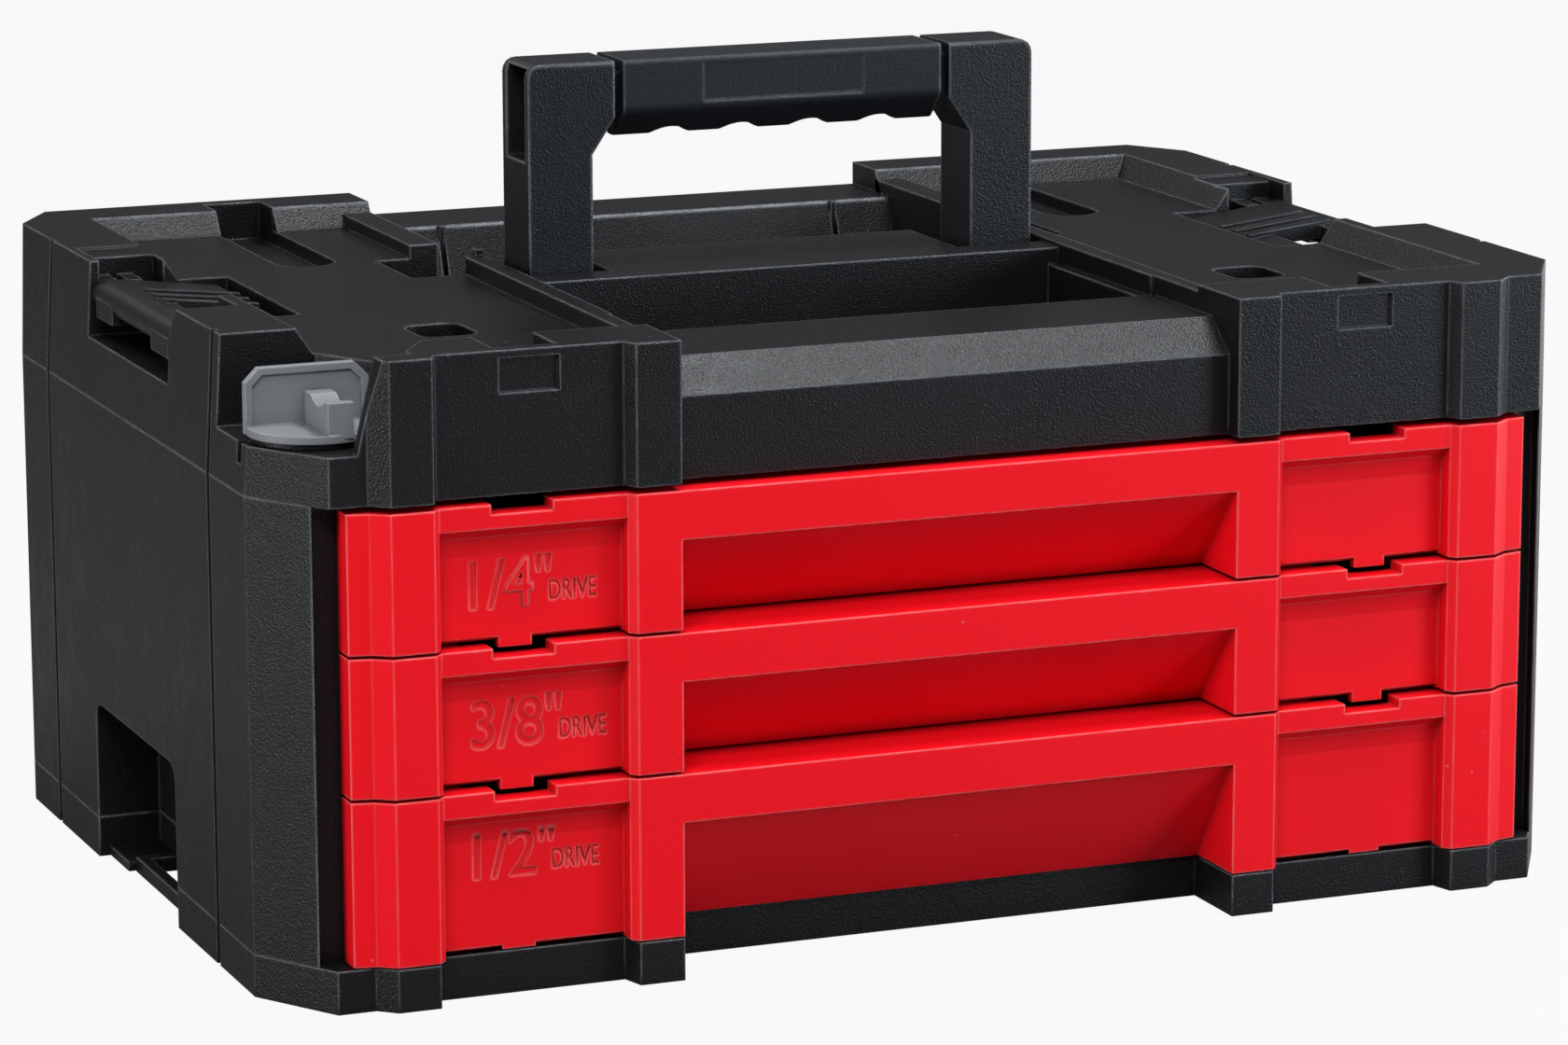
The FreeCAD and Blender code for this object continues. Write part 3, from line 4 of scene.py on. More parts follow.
import bmesh
import bpy
from bpy.props import FloatProperty, FloatVectorProperty, PointerProperty
from mathutils import Euler, Matrix, Vector


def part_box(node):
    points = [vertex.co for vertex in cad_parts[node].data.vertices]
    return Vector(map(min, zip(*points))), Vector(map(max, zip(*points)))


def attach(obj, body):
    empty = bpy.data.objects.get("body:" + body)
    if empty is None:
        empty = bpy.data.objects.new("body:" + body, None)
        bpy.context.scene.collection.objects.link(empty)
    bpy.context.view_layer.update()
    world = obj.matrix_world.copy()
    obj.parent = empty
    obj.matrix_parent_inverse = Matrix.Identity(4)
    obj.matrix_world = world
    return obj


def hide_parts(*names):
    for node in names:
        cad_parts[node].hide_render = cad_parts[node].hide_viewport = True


bl_info = {
    "name": "Drawer box looks",
    "version": (1, 0, 0),
    "blender": (4, 5, 0),
    "location": "View3D > Sidebar > Drawer Box",
    "description": "Moulded plastic finishes, size marks, hardware and a studio stage for a drawer box",
    "category": "Object",
}

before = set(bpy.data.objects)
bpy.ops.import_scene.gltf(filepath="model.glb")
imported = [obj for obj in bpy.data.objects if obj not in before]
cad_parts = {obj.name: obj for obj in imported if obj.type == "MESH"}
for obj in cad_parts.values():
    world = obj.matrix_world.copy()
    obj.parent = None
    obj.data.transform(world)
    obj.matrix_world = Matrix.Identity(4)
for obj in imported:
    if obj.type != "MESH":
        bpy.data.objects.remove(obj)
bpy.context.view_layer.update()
DRAWERS = ("bottom", "middle", "top")
PAST = 0.001  # how far a cutting solid reaches past the surface that it opens

# Size marks: the drawer, the words, the height of their foot and the width of their figures.
SIZE_MARKS = (("bottom", "1/2 DRIVE", 0.0365, 0.0200),
              ("middle", "3/8 DRIVE", 0.0770, 0.0228),
              ("top", "1/4 DRIVE", 0.1200, 0.0200))
MARKS_START = -0.1583
MARKS_DEPTH = 0.0004
PANEL_SET = 0.008  # how far the fronts' side panels stand back from their face

# Dark slots and openings of the drawer fronts. FRONT_FOOT leaves out the tabs that hang below it.
FRONT_FOOT = {"bottom": 0.014, "middle": 0.066, "top": 0.110}
BESIDE_TABS = ((0.1099, 0.1387), (0.1493, 0.1690))
SLOT_HEIGHT = 0.0013
SLOT_FRONT, SLOT_BACK = -0.1600, -0.1476
BEHIND_NOTCH = (0.1255, 0.1609)
BEHIND_NOTCH_FRONT, BEHIND_NOTCH_BACK = -0.1480, -0.1275
BEHIND_NOTCH_DEPTH = 0.0064

# Rounded fields of the rear panel, from their starts to their ends along the box.
REAR_FIELDS = ((-0.172, -0.064), (-0.056, 0.056), (0.064, 0.172))
FIELD_DEPTH = 0.0009
FIELD_ROUND = 0.006
FIELD_ABOVE_FOOT, FIELD_BELOW_TOP = 0.022, 0.016

# Sloped strips of the lid: in front of the rear rim, and down the rear wall of the well.
RIM_STRIPS = (("outer", 0.1495, 0.1935), ("inner", 0.0950, 0.1295))
RIM_WALL, RIM_REACH, RIM_HEIGHT = 0.1375, 0.0055, 0.008
WELL_WALL, WELL_REACH, WELL_DEPTH = 0.1255, 0.0085, 0.031
WELL_MIDDLE_HALF = 0.072
WELL_SIDE = (0.074, 0.095)

# Floor plates behind the catch bars in the stacking pockets.
POCKET_ACROSS = (0.1985, 0.2165)
POCKET_LOW, POCKET_HIGH = (0.0275, 0.0003), (0.0510, 0.0033)

# Outer top corners of the handle's frame, and how far the solid that rounds them reaches past its sides.
HANDLE_ROUND = 0.0045
HULL_PAST = 0.01

# Colours that go with the finishes below.
# The lit colour is a painted highlight on the grain's high spots and also the dust's colour; the edge colour
# is a painted highlight.
DRAWER_LIT, DRAWER_EDGE_HIGHLIGHT = (0.80, 0.012, 0.020), (0.98, 0.30, 0.30)
KNOB_EDGE_HIGHLIGHT = (0.55, 0.57, 0.60)
SPECK_COLOUR = (0.35, 0.35, 0.34, 1)

# Lamps: their name, place, width and height, and colour. Their powers are settings of the stage.
LAMPS = (("top", (0.52, -0.30, 2.0), (1.2, 0.5), (0.93, 0.97, 1)),
         ("key", (-0.9, -1.6, 1.9), (1.2, 0.9), (1, 1, 1)),
         ("left", (-1.9, -0.30, 0.24), (0.6, 0.36), (0.97, 0.97, 1)),
         ("right", (1.05, -1.0, 0.38), (0.5, 0.5), (0.80, 0.90, 1)),
         ("back", (-1.2, 1.8, 1.9), (1.2, 0.9), (1, 1, 1)),
         ("rim", (1.9, 0.30, 0.32), (1.4, 0.5), (0.92, 0.96, 1)))
LAMP_TARGET = (0, 0, 0.12)

# Surroundings: the floor's half side, its colour under the lamps and how much plain white is mixed over it.
FLOOR_HALF = 6
FLOOR_COLOUR = (0.17, 0.17, 0.17, 1)
FLOOR_WHITE = 0.93
ROOM_COLOUR = (0.95, 0.97, 1.0, 1)
WHITE = (1, 1, 1, 1)
SENSOR_WIDTH = 36
VIEW_END = 20


def colour(name, description, default):
    return FloatVectorProperty(name=name, description=description, default=default, size=3,
                               min=0, max=1, subtype="COLOR")


def length(name, description, default):
    return FloatProperty(name=name, description=description, default=default, min=0,
                         unit="LENGTH", subtype="DISTANCE")


def power(name, description, default):
    return FloatProperty(name=name, description=description, default=default, min=0, unit="POWER")


class BoxFinishSettings(bpy.types.PropertyGroup):
    case_colour: colour("Case", "Colour of the dark moulded case and lid", (0.0033, 0.0034, 0.0040))
    inner_colour: colour("Inside", "Colour of the runners, trays and inserts", (0.0032, 0.0032, 0.0035))
    drawer_colour: colour("Drawers", "Colour of the drawer fronts", (0.69, 0.003, 0.009))
    handle_colour: colour("Handle", "Colour of the handle's frame", (0.0046, 0.0054, 0.0066))
    grip_colour: colour("Grip", "Colour of the soft grip", (0.0060, 0.0072, 0.0088))
    latch_colour: colour("Latches", "Colour of the side latches", (0.0048, 0.0050, 0.0056))
    knob_colour: colour("Knob", "Colour of the lock's knob", (0.150, 0.160, 0.168))
    # Painted highlight: the colour that the dark plastic's edges are lightened to.
    edge_highlight_colour: colour("Edge highlights", "Colour of the dark plastic's edges", (0.24, 0.25, 0.265))
    pin_colour: colour("Hardware", "Colour of the zinc plated pins and screws", (0.55, 0.56, 0.58))
    edge_radius: length("Edge radius", "Radius that moulded edges are softened to", 0.0011)
    grain_size: length("Grain", "Size of the moulded grain", 0.0007)


class BoxStageSettings(bpy.types.PropertyGroup):
    camera_place: FloatVectorProperty(name="Camera", description="Place of the camera", size=3,
                                      default=(-0.7036, -1.7506, 0.5039), subtype="TRANSLATION",
                                      unit="LENGTH")
    camera_turn: FloatVectorProperty(name="Turn", description="Downward tilt, turn and roll of the camera",
                                     default=(math.radians(11.947), math.radians(22.007), -0.0027), size=3,
                                     subtype="EULER")
    camera_lens: FloatProperty(name="Lens", description="Focal length in millimetres", default=132.97, min=10)
    top_power: power("Top", "Power of the large lamp overhead", 48)
    key_power: power("Key", "Power of the lamp above the front's left", 50)
    left_power: power("Left", "Power of the lamp at the left", 17)
    right_power: power("Right", "Power of the lamp at the right", 11)
    rim_power: power("Rim", "Power of the lamp behind the right end", 34)
    back_power: power("Back", "Power of the lamp above the rear", 16)
    room_light: FloatProperty(name="Room", description="Strength of the even light from all round",
                              default=0.11, min=0)
    mirrored_white: FloatProperty(name="Mirrored white", default=0.04, min=0, max=1, subtype="FACTOR",
                                  description="How much of the white surroundings shows in gloss and metal")


# ---- shader groups -----------------------------------------------------------------------------------

def shader_group(name, inputs, outputs):
    """An empty group with named float, colour or vector sockets. Returns the group and its two end nodes."""
    group = bpy.data.node_groups.new(name, "ShaderNodeTree")
    kinds = {"value": "NodeSocketFloat", "colour": "NodeSocketColor", "vector": "NodeSocketVector"}
    for label, kind, default in inputs:
        socket = group.interface.new_socket(label, in_out="INPUT", socket_type=kinds[kind])
        if default is not None:
            socket.default_value = default
    for label, kind in outputs:
        group.interface.new_socket(label, in_out="OUTPUT", socket_type=kinds[kind])
    start = group.nodes.new("NodeGroupInput")
    end = group.nodes.new("NodeGroupOutput")
    return group, start, end


def feed(tree, socket, source):
    """Link another node's socket to the input, or set the input's own value."""
    if isinstance(source, bpy.types.NodeSocket):
        tree.links.new(source, socket)
    else:
        socket.default_value = source


def add(tree, kind, sources=None, **settings):
    """A node of the tree with its settings made and its inputs fed."""
    node = tree.nodes.new(kind)
    for name, setting in settings.items():
        setattr(node, name, setting)
    for socket, source in (sources or {}).items():
        feed(tree, node.inputs[socket], source)
    return node


def maths(tree, operation, first, second=0.0, clamp=False):
    return add(tree, "ShaderNodeMath", {0: first, 1: second}, operation=operation, use_clamp=clamp).outputs[0]


def spread(tree, value, low, high, to_low=0.0, to_high=1.0):
    """The value mapped from one range to another, held at the ends."""
    return add(tree, "ShaderNodeMapRange", {"Value": value, "From Min": low, "From Max": high,
                                            "To Min": to_low, "To Max": to_high}).outputs["Result"]


def blend(tree, amount, first, second):
    """Two colours mixed. The Mix node's colour sockets have the numbers 6 and 7, and 2 for its result."""
    node = add(tree, "ShaderNodeMix", data_type="RGBA")
    for number, source in ((0, amount), (6, first), (7, second)):
        feed(tree, node.inputs[number], source)
    return node.outputs[2]


def moulded_grain_group():
    """Spark-eroded grain: a pebbled height with a finer tooth in it, and a mask of its high spots."""
    group, start, end = shader_group(
        "moulded grain", [("Place", "vector", None), ("Grain size", "value", 0.001)],
        [("Height", "value"), ("High spots", "value")])
    scale = maths(group, "DIVIDE", 1.0, start.outputs["Grain size"])
    pebbles = add(group, "ShaderNodeTexVoronoi", {"Vector": start.outputs["Place"], "Scale": scale,
                                                  "Randomness": 1.0}, feature="F1")
    tooth = add(group, "ShaderNodeTexNoise", {"Vector": start.outputs["Place"],
                                              "Scale": maths(group, "MULTIPLY", scale, 0.8),
                                              "Detail": 2.0, "Roughness": 0.65})
    bumps = maths(group, "SUBTRACT", 1.0, pebbles.outputs["Distance"])
    height = maths(group, "ADD", maths(group, "MULTIPLY", bumps, 0.45),
                   maths(group, "MULTIPLY", tooth.outputs["Fac"], 0.75))
    group.links.new(height, end.inputs["Height"])
    group.links.new(spread(group, height, 0.55, 0.85), end.inputs["High spots"])
    return group


def edge_shine_group():
    """How far the softened normal turns from the flat one: 1 along the edges, where a highlight is painted.
    """
    group, start, end = shader_group(
        "edge shine", [("Soft normal", "vector", None), ("Place", "vector", None)], [("Edge", "value")])
    flat = add(group, "ShaderNodeNewGeometry")
    dot = add(group, "ShaderNodeVectorMath", {0: start.outputs["Soft normal"], 1: flat.outputs["Normal"]},
              operation="DOT_PRODUCT").outputs["Value"]
    broken = add(group, "ShaderNodeTexNoise", {"Vector": start.outputs["Place"], "Scale": 140.0,
                                               "Detail": 3.0}).outputs["Fac"]
    edge = spread(group, dot, 0.985, 0.78)
    group.links.new(maths(group, "MULTIPLY", edge, spread(group, broken, 0.30, 0.62, 0.55, 1.0)),
                    end.inputs["Edge"])
    return group


def handling_group():
    """Faint rub marks, scuffs and settled dust from use and storage."""
    group, start, end = shader_group(
        "handling marks", [("Place", "vector", None)],
        [("Rub", "value"), ("Dust", "value"), ("Specks", "value")])
    broad = add(group, "ShaderNodeTexNoise", {"Vector": start.outputs["Place"], "Scale": 13.0, "Detail": 5.0,
                                              "Roughness": 0.6, "Distortion": 0.6}).outputs["Fac"]
    stretched = add(group, "ShaderNodeMapping", {"Vector": start.outputs["Place"],
                                                 "Scale": (30.0, 160.0, 60.0),
                                                 "Rotation": (0.3, 0.2, 0.5)}).outputs["Vector"]
    streaks = add(group, "ShaderNodeTexNoise", {"Vector": stretched, "Scale": 1.0,
                                                "Detail": 3.0}).outputs["Fac"]
    cells = add(group, "ShaderNodeTexVoronoi", {"Vector": start.outputs["Place"], "Scale": 75.0})
    near = spread(group, cells.outputs["Distance"], 0.045, 0.02)
    thin = spread(group, broad, 0.52, 0.6)
    group.links.new(spread(group, maths(group, "MULTIPLY", streaks, broad), 0.24, 0.40), end.inputs["Rub"])
    group.links.new(spread(group, broad, 0.42, 0.74), end.inputs["Dust"])
    group.links.new(maths(group, "MULTIPLY", near, thin), end.inputs["Specks"])
    return group


# ---- materials ---------------------------------------------------------------------------------------

def new_material(name):
    material = bpy.data.materials.new(name)
    material.use_nodes = True
    tree = material.node_tree
    tree.nodes.clear()
    output = add(tree, "ShaderNodeOutputMaterial")
    surface = add(tree, "ShaderNodeBsdfPrincipled")
    tree.links.new(surface.outputs["BSDF"], output.inputs["Surface"])
    place = add(tree, "ShaderNodeTexCoord").outputs["Object"]
    return material, tree, surface, place


def use(tree, group, **sources):
    """A shader group placed in a material, with its inputs fed by their names."""
    node = add(tree, "ShaderNodeGroup")
    node.node_tree = bpy.data.node_groups[group]
    for name, source in sources.items():
        feed(tree, node.inputs[name.replace("_", " ")], source)
    return node


def moulded_plastic(name, base, lit, painted_edge_colour, roughness=(0.30, 0.46), grain=0.0007, depth=0.00026,
                    radius=0.0010, dust=0.06, edge=0.85, specular=0.25):
    """Grained plastic, soft edges and grain with painted highlights, painted shade in corners, faint rubs and
    a little dust.

    Roughness goes from the grain's high spots to its low ones. Depth is the grain's height.
    """
    material, tree, surface, place = new_material(name)
    soft = add(tree, "ShaderNodeBevel", {"Radius": radius}, samples=3).outputs["Normal"]
    grained = use(tree, "moulded grain", Place=place, Grain_size=grain)
    edges = use(tree, "edge shine", Soft_normal=soft, Place=place)
    marks = use(tree, "handling marks", Place=place)
    open_air = add(tree, "ShaderNodeAmbientOcclusion", {"Distance": 0.006}, samples=2).outputs["AO"]
    outer_edge = maths(tree, "MULTIPLY", edges.outputs["Edge"], spread(tree, open_air, 0.72, 0.96))
    rough = spread(tree, grained.outputs["High spots"], 0.0, 1.0, roughness[1], roughness[0])
    rough = maths(tree, "SUBTRACT", rough, maths(tree, "MULTIPLY", outer_edge, 0.16))
    rough = maths(tree, "ADD", rough, maths(tree, "MULTIPLY", marks.outputs["Rub"], -0.07), clamp=True)
    tree.links.new(rough, surface.inputs["Roughness"])
    # Painted highlight: the grain's high spots take up to 0.22 of the lit colour.
    shade = blend(tree, spread(tree, grained.outputs["Height"], 0.35, 0.95, 0.0, 0.22),
                  (*base, 1), (*lit, 1))
    shade = blend(tree, maths(tree, "MULTIPLY", marks.outputs["Dust"], dust), shade, (*lit, 1))
    # Painted shade: where little open air is around, in corners and narrow gaps, the colour darkens towards
    # three tenths of the base.
    shade = blend(tree, spread(tree, open_air, 0.15, 0.68, 0.75, 0.0), shade, (*scaled(base, 0.3), 1))
    # Painted highlight: outer edges, kept out of corners, take the edge highlight colour.
    shade = blend(tree, maths(tree, "MULTIPLY", outer_edge, edge), shade, (*painted_edge_colour, 1))
    shade = blend(tree, maths(tree, "MULTIPLY", marks.outputs["Specks"], dust * 2.5), shade, SPECK_COLOUR)
    tree.links.new(shade, surface.inputs["Base Color"])
    surface.inputs["Specular IOR Level"].default_value = specular
    bump = add(tree, "ShaderNodeBump", {"Height": grained.outputs["Height"], "Normal": soft,
                                        "Strength": 0.9, "Distance": depth})
    tree.links.new(bump.outputs["Normal"], surface.inputs["Normal"])
    return material


def plated_metal(name, base, roughness=0.3, radius=0.0003):
    """Zinc plated steel with fine turning marks and dust."""
    material, tree, surface, place = new_material(name)
    soft = add(tree, "ShaderNodeBevel", {"Radius": radius}, samples=2).outputs["Normal"]
    lines = add(tree, "ShaderNodeTexNoise", {"Vector": add(tree, "ShaderNodeMapping", {
        "Vector": place, "Scale": (4000.0, 400.0, 400.0)}).outputs["Vector"], "Scale": 1.0, "Detail": 2.0})
    marks = use(tree, "handling marks", Place=place)
    tree.links.new(spread(tree, lines.outputs["Fac"], 0.3, 0.7, roughness - 0.08, roughness + 0.12),
                   surface.inputs["Roughness"])
    tree.links.new(blend(tree, maths(tree, "MULTIPLY", marks.outputs["Dust"], 0.4), (*base, 1),
                         (base[0] * 0.6, base[1] * 0.6, base[2] * 0.58, 1)), surface.inputs["Base Color"])
    surface.inputs["Metallic"].default_value = 1.0
    bump = add(tree, "ShaderNodeBump", {"Height": lines.outputs["Fac"], "Normal": soft, "Strength": 0.3,
                                        "Distance": 0.00003})
    tree.links.new(bump.outputs["Normal"], surface.inputs["Normal"])
    return material


def scaled(base, times, lift=0.0):
    """A colour made lighter or darker, for the painted highlights on grain and edges and the painted shade in
    corners.
    """
    return tuple(min(1.0, part * times + lift) for part in base)


def finish_node(node, material):
    """The CAD node's own mesh keeps its shape and takes the material in every slot."""
    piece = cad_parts[node]
    if not piece.material_slots:
        piece.data.materials.append(material)
    for slot in piece.material_slots:
        slot.material = material


# ---- new meshes --------------------------------------------------------------------------------------

def new_object(name, data):
    item = bpy.data.objects.new(name, data)
    bpy.context.scene.collection.objects.link(item)
    return item


def piece_from(mesh, name, material, body):
    """A bmesh made into a flat shaded piece that rides on a body, with its place in its mesh."""
    bmesh.ops.recalc_face_normals(mesh, faces=mesh.faces)
    data = bpy.data.meshes.new(name)
    mesh.to_mesh(data)
    mesh.free()
    data.materials.append(material)
    piece = new_object(name, data)
    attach(piece, body)
    return piece


def merged_copy(node):
    """The CAD node's mesh as a bmesh whose loose triangles are joined."""
    mesh = bmesh.new()
    mesh.from_mesh(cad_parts[node].data)
    bmesh.ops.remove_doubles(mesh, verts=mesh.verts, dist=0.000002)
    bmesh.ops.dissolve_degenerate(mesh, edges=mesh.edges, dist=0.000001)
    return mesh


def evaluated_mesh(piece):
    """The mesh of a text or of a piece with its modifiers applied."""
    graph = bpy.context.evaluated_depsgraph_get()
    return bpy.data.meshes.new_from_object(piece.evaluated_get(graph), depsgraph=graph)


def word_block(text, low, high, front, depth, weight):
    """A solid of the words, from depth before a face that looks to the front to depth behind it.

    Low and high are its corners on that face. Weight thickens the strokes, as a share of the type's size.
    """
    curve = bpy.data.curves.new("words", "FONT")
    curve.body = text
    curve.extrude = 0.5
    curve.offset = weight
    curve.resolution_u = 4
    holder = new_object("words", curve)
    bpy.context.view_layer.update()
    data = evaluated_mesh(holder)
    bpy.data.objects.remove(holder)
    mesh = bmesh.new()
    mesh.from_mesh(data)
    bmesh.ops.remove_doubles(mesh, verts=mesh.verts, dist=0.0005)
    across = [vert.co.x for vert in mesh.verts]
    up = [vert.co.y for vert in mesh.verts]
    wide, tall = max(across) - min(across), max(up) - min(up)
    bmesh.ops.translate(mesh, verts=mesh.verts, vec=(-min(across), -min(up), 0))
    bmesh.ops.scale(mesh, verts=mesh.verts,
                    vec=((high[0] - low[0]) / wide, (high[1] - low[1]) / tall, 2 * depth))
    upright = Matrix.Rotation(math.radians(90), 3, "X")
    bmesh.ops.rotate(mesh, verts=mesh.verts, cent=(0, 0, 0), matrix=upright)
    bmesh.ops.translate(mesh, verts=mesh.verts, vec=(low[0], front, low[1]))
    return mesh


def block(low, high):
    """A box between two corners."""
    middle = [(near + far) / 2 for near, far in zip(low, high)]
    size = [far - near for near, far in zip(low, high)]
    mesh = bmesh.new()
    bmesh.ops.create_cube(mesh, size=1, matrix=Matrix.LocRotScale(Vector(middle), None, Vector(size)))
    return mesh


def mirrored_blocks(near, far, low, high):
    """Two boxes, one at each side, from near to far along X and between two corners along Y and Z."""
    return [block((start, *low), (end, *high)) for start, end in ((near, far), (-far, -near))]


def shadow_slots(foot):
    """Solids that raise the lower edge of both side panels beside their hanging tabs."""
    slots = []
    for near, far in BESIDE_TABS:
        slots += mirrored_blocks(near, far, (SLOT_FRONT, foot - PAST), (SLOT_BACK, foot + SLOT_HEIGHT))
    return slots


def notch_openings(top):
    """Solids that open the wall behind the two notches in a front's top edge, to look into the dark."""
    return mirrored_blocks(*BEHIND_NOTCH, (BEHIND_NOTCH_FRONT, top - BEHIND_NOTCH_DEPTH),
                           (BEHIND_NOTCH_BACK, top + PAST))


def rounded_block(low, high, radius):
    """A box between two corners whose edges along Y are rounded."""
    mesh = block(low, high)
    level = [edge for edge in mesh.edges
             if abs(edge.verts[0].co.y - edge.verts[1].co.y) > (high[1] - low[1]) / 2]
    bmesh.ops.bevel(mesh, geom=level, offset=radius, offset_type="OFFSET", affect="EDGES", segments=4,
                    profile=0.5, material=-1)
    return mesh


def cut_from(mesh, cutters, operation="DIFFERENCE"):
    """The mesh with every cutter's solid taken out of it, or with INTERSECT, only what lies in it kept."""
    pieces = []
    for number, source in enumerate((mesh, *cutters)):
        data = bpy.data.meshes.new(f"part {number}")
        source.to_mesh(data)
        source.free()
        pieces.append(new_object(f"part {number}", data))
    for cutter in pieces[1:]:
        cut = pieces[0].modifiers.new("cut", "BOOLEAN")
        cut.operation, cut.solver, cut.object = operation, "EXACT", cutter
    bpy.context.view_layer.update()
    data = evaluated_mesh(pieces[0])
    for piece in pieces:
        bpy.data.objects.remove(piece)
    result = bmesh.new()
    result.from_mesh(data)
    return result


def sloped_strip(start, end, back, foot, top, reach):
    """A wedge along a wall that looks to the front: its face leans back from its foot to the wall's top."""
    mesh = bmesh.new()
    corners = [mesh.verts.new((start, *place)) for place in ((back, foot), (back - reach, foot), (back, top))]
    side = mesh.faces.new(corners)
    grown = bmesh.ops.extrude_face_region(mesh, geom=[side])["geom"]
    moved = [item for item in grown if isinstance(item, bmesh.types.BMVert)]
    bmesh.ops.translate(mesh, verts=moved, vec=(end - start, 0, 0))
    return mesh


class FinishBase:
    """What every operator of this file shares: it ends as finished or raises an error."""
    bl_options = {"REGISTER", "UNDO"}

    def execute(self, context):
        self.make(context.scene.box_finish, context.scene.box_stage)
        return {"FINISHED"}


class BOX_OT_shader_groups(FinishBase, bpy.types.Operator):
    """Build the shader groups that the finishes share"""
    bl_idname = "drawer_box.shader_groups"
    bl_label = "Shader groups"

    def make(self, finish, stage):
        moulded_grain_group()
        edge_shine_group()
        handling_group()


class BOX_OT_case(FinishBase, bpy.types.Operator):
    """Finish the lid, the side and rear panels, the base, the runners, the trays and their inserts"""
    bl_idname = "drawer_box.case"
    bl_label = "Case and lid"

    def make(self, finish, stage):
        case = moulded_plastic("case plastic", finish.case_colour, scaled(finish.case_colour, 2.6),
                               finish.edge_highlight_colour, radius=finish.edge_radius, grain=finish.grain_size)
        inner = moulded_plastic("inner plastic", finish.inner_colour, scaled(finish.inner_colour, 2.5),
                                scaled(finish.edge_highlight_colour, 0.6), radius=0.0005, grain=finish.grain_size,
                                dust=0.05)
        for node in ("top_cover", "left_side_panel", "right_side_panel", "base_tray"):
            finish_node(node, case)
        self.press_rear_fields(case)
        for node in ("left_runner", "right_runner", "lock_disc"):
            finish_node(node, inner)
        self.add_trim(case)
        for label in DRAWERS:
            finish_node(f"{label}_drawer_tray", inner)
            finish_node(f"{label}_drawer_insert", inner)

    def press_rear_fields(self, plastic):
        low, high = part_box("rear_panel")
        fields = [rounded_block((start, high.y - FIELD_DEPTH, low.z + FIELD_ABOVE_FOOT),
                                (end, high.y + 2 * PAST, high.z - FIELD_BELOW_TOP), FIELD_ROUND)
                  for start, end in REAR_FIELDS]
        rear = piece_from(cut_from(merged_copy("rear_panel"), fields), "rear_panel_fields", plastic, "case")
        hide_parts("rear_panel")

    def add_trim(self, plastic):
        """The lid's sloped strips and the plates in the stacking pockets."""
        rim_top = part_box("top_cover")[1].z
        rim_foot = rim_top - RIM_HEIGHT
        well_foot = rim_top - WELL_DEPTH
        for side, way in (("left", -1), ("right", 1)):
            for part, near, far in RIM_STRIPS:
                start, end = sorted((way * near, way * far))
                strip = sloped_strip(start, end, RIM_WALL, rim_foot, rim_top, RIM_REACH)
                piece_from(strip, f"{side}_rim_{part}_slope", plastic, "case")
            start, end = sorted(way * place for place in POCKET_ACROSS)
            piece_from(block((start, *POCKET_LOW), (end, *POCKET_HIGH)), f"{side}_pocket_floor", plastic,
                       "case")
            start, end = sorted(way * place for place in WELL_SIDE)
            piece_from(sloped_strip(start, end, WELL_WALL, well_foot, rim_foot, WELL_REACH),
                       f"{side}_well_rear_slope", plastic, "case")
        piece_from(sloped_strip(-WELL_MIDDLE_HALF, WELL_MIDDLE_HALF, WELL_WALL, well_foot, rim_foot,
                                WELL_REACH),
                   "middle_well_rear_slope", plastic, "case")


class BOX_OT_drawer_fronts(FinishBase, bpy.types.Operator):
    """Finish the drawer fronts, with their size marks, slots and notch openings"""
    bl_idname = "drawer_box.drawer_fronts"
    bl_label = "Drawer fronts"

    def make(self, finish, stage):
        red = moulded_plastic("drawer plastic", finish.drawer_colour, DRAWER_LIT, DRAWER_EDGE_HIGHLIGHT,
                              roughness=(0.34, 0.46), grain=finish.grain_size, depth=0.00005,
                              radius=finish.edge_radius, dust=0.10, edge=0.9, specular=0.16)
        for label, words, foot, figures_wide in SIZE_MARKS:
            node = f"{label}_drawer_front"
            low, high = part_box(node)
            cutters = self.mark_blocks(words, foot, figures_wide, low.y + PANEL_SET)
            cutters += shadow_slots(FRONT_FOOT[label]) + notch_openings(high.z)
            front = piece_from(cut_from(merged_copy(node), cutters), f"{label}_drawer_front_marked", red,
                               f"{label}_drawer")
            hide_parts(node)

    def mark_blocks(self, words, foot, figures_wide, face):
        """Solids of the large figures, the inch sign at their upper right and the small word beside them."""
        figures, _, word = words.partition(" ")
        end = MARKS_START + figures_wide
        return [word_block(text, (start, foot + rise), (stop, foot + top), face, MARKS_DEPTH, weight)
                for text, start, stop, rise, top, weight in (
                    (figures, MARKS_START, end, 0.0, 0.0150, 0.008),
                    ("\"", end + 0.0009, end + 0.0058, 0.0102, 0.0156, 0.008),
                    (word, end + 0.0053, end + 0.0203, 0.0012, 0.0074, 0.003))]


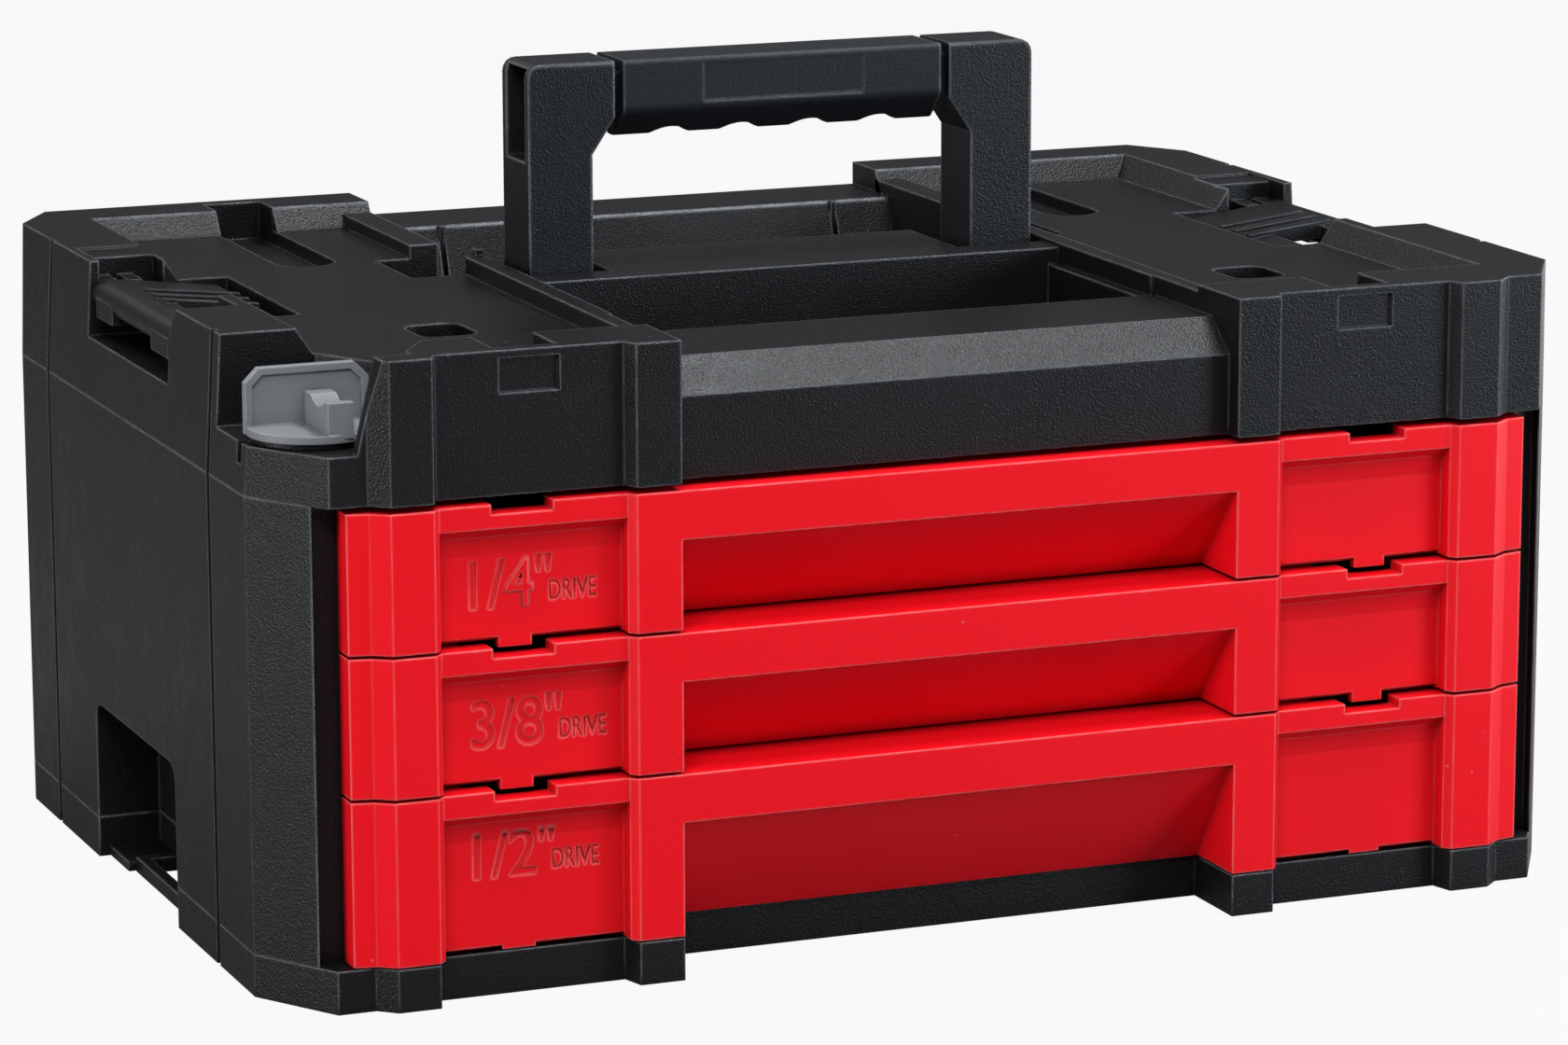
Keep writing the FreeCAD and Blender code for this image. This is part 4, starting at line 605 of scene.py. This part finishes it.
class BOX_OT_handle(FinishBase, bpy.types.Operator):
    """Finish the handle's frame and grip, the hinge pins and the base's screws"""
    bl_idname = "drawer_box.handle"
    bl_label = "Handle and hardware"

    def make(self, finish, stage):
        frame_plastic = moulded_plastic("handle plastic", finish.handle_colour,
                                        scaled(finish.handle_colour, 2.6), finish.edge_highlight_colour, radius=0.0016,
                                        grain=finish.grain_size)
        grip = moulded_plastic("grip rubber", finish.grip_colour, scaled(finish.grip_colour, 2.4),
                               scaled(finish.edge_highlight_colour, 0.8), roughness=(0.46, 0.64), grain=0.0009,
                               depth=0.00014, radius=0.0016)
        metal = plated_metal("plated steel", finish.pin_colour)
        low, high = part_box("handle_frame")
        hull = rounded_block((low.x, low.y - HULL_PAST, low.z - 2 * HULL_PAST),
                             (high.x, high.y + HULL_PAST, high.z), HANDLE_ROUND)
        rounded = piece_from(cut_from(merged_copy("handle_frame"), [hull], "INTERSECT"),
                             "handle_frame_rounded", frame_plastic, "handle")
        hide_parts("handle_frame")
        finish_node("handle_grip", grip)
        for node in ("left_handle_pin", "right_handle_pin", "left_latch_pin", "right_latch_pin",
                     "base_screws"):
            finish_node(node, metal)


class BOX_OT_latches(FinishBase, bpy.types.Operator):
    """Finish the side latches"""
    bl_idname = "drawer_box.latches"
    bl_label = "Side latches"

    def make(self, finish, stage):
        latch = moulded_plastic("latch plastic", finish.latch_colour, scaled(finish.latch_colour, 2.8),
                                finish.edge_highlight_colour, radius=0.0007, roughness=(0.32, 0.46))
        finish_node("left_latch", latch)
        finish_node("right_latch", latch)


class BOX_OT_lock(FinishBase, bpy.types.Operator):
    """Finish the drawer lock's knob and shaft"""
    bl_idname = "drawer_box.lock"
    bl_label = "Drawer lock"

    def make(self, finish, stage):
        knob = moulded_plastic("knob plastic", finish.knob_colour, scaled(finish.knob_colour, 1.4, 0.03),
                               KNOB_EDGE_HIGHLIGHT, radius=0.0007, roughness=(0.40, 0.52), depth=0.00006, edge=0.8)
        finish_node("lock_knob", knob)
        finish_node("lock_shaft", knob)


class BOX_OT_stage(FinishBase, bpy.types.Operator):
    """Pale floor, white surroundings, soft lamps and the camera"""
    bl_idname = "drawer_box.stage"
    bl_label = "Stage"

    def make(self, finish, stage):
        scene = bpy.context.scene
        scene.view_settings.view_transform = "Standard"
        self.place_camera(scene, stage)
        self.light_room(scene, stage)
        self.lay_floor(scene, stage)

    def place_camera(self, scene, stage):
        data = bpy.data.cameras.new("view")
        data.lens = stage.camera_lens
        data.sensor_width = SENSOR_WIDTH
        data.clip_end = VIEW_END
        camera = new_object("view", data)
        tilt, turn, roll = stage.camera_turn
        facing = Euler((math.pi / 2 - tilt, 0, -turn)).to_matrix() @ Matrix.Rotation(roll, 3, "Z")
        camera.matrix_world = Matrix.Translation(stage.camera_place) @ facing.to_4x4()
        scene.camera = camera

    def light_room(self, scene, stage):
        world = bpy.data.worlds.new("room")
        scene.world = world
        world.use_nodes = True
        tree = world.node_tree
        tree.nodes.clear()
        seen = self.seen_directly(tree, stage)
        even = add(tree, "ShaderNodeBackground", {"Color": ROOM_COLOUR, "Strength": stage.room_light})
        white = add(tree, "ShaderNodeBackground", {"Color": WHITE, "Strength": 1.0})
        chosen = add(tree, "ShaderNodeMixShader", {0: seen, 1: even.outputs[0], 2: white.outputs[0]})
        add(tree, "ShaderNodeOutputWorld", {"Surface": chosen.outputs[0]})
        for name, place, size, tint in LAMPS:
            data = bpy.data.lights.new(name, "AREA")
            data.shape = "RECTANGLE"
            data.size, data.size_y = size
            data.energy = getattr(stage, f"{name}_power")
            data.color = tint
            lamp = new_object(name, data)
            lamp.location = place
            aim = Vector(LAMP_TARGET) - Vector(place)
            lamp.rotation_euler = aim.to_track_quat("-Z", "Y").to_euler()

    def seen_directly(self, tree, stage):
        """1 where the surroundings are looked at directly or through glass, and a share of it in gloss."""
        path = add(tree, "ShaderNodeLightPath")
        straight = maths(tree, "MAXIMUM", path.outputs["Is Camera Ray"], path.outputs["Is Transmission Ray"])
        mirrored = maths(tree, "MULTIPLY", path.outputs["Is Glossy Ray"], stage.mirrored_white)
        return maths(tree, "MAXIMUM", straight, mirrored)

    def lay_floor(self, scene, stage):
        mesh = bmesh.new()
        bmesh.ops.create_grid(mesh, x_segments=1, y_segments=1, size=FLOOR_HALF)
        data = bpy.data.meshes.new("floor")
        mesh.to_mesh(data)
        mesh.free()
        floor = new_object("floor", data)
        material, tree, surface, _ = new_material("pale floor")
        surface.inputs["Base Color"].default_value = FLOOR_COLOUR
        surface.inputs["Roughness"].default_value = 0.9
        surface.inputs["Specular IOR Level"].default_value = 0.0
        white = add(tree, "ShaderNodeEmission", {"Color": WHITE, "Strength": 1.0})
        share = maths(tree, "MULTIPLY", self.seen_directly(tree, stage), FLOOR_WHITE)
        chosen = add(tree, "ShaderNodeMixShader", {0: share, 1: surface.outputs["BSDF"], 2: white.outputs[0]})
        tree.links.new(chosen.outputs[0], tree.nodes["Material Output"].inputs["Surface"])
        data.materials.append(material)


class BOX_PT_looks(bpy.types.Panel):
    """Lists the box's finishes and pieces"""
    bl_label = "Drawer Box"
    bl_idname = "BOX_PT_looks"
    bl_space_type = "VIEW_3D"
    bl_region_type = "UI"
    bl_category = "Drawer Box"

    def draw(self, context):
        layout = self.layout
        for name in ("box_finish", "box_stage"):
            settings = getattr(context.scene, name)
            for key in settings.__annotations__:
                layout.prop(settings, key)
        for operator in OPERATORS:
            layout.operator(operator.bl_idname)


OPERATORS = (BOX_OT_shader_groups, BOX_OT_case, BOX_OT_drawer_fronts, BOX_OT_handle, BOX_OT_latches,
             BOX_OT_lock, BOX_OT_stage)
CLASSES = (BoxFinishSettings, BoxStageSettings) + OPERATORS + (BOX_PT_looks,)


def register():
    for entry in CLASSES:
        bpy.utils.register_class(entry)
    bpy.types.Scene.box_finish = PointerProperty(type=BoxFinishSettings)
    bpy.types.Scene.box_stage = PointerProperty(type=BoxStageSettings)


def unregister():
    del bpy.types.Scene.box_stage
    del bpy.types.Scene.box_finish
    for entry in reversed(CLASSES):
        bpy.utils.unregister_class(entry)


def main():
    register()
    for operator in OPERATORS:
        getattr(bpy.ops.drawer_box, operator.bl_idname.split(".")[1])()


if __name__ == "__main__":
    main()
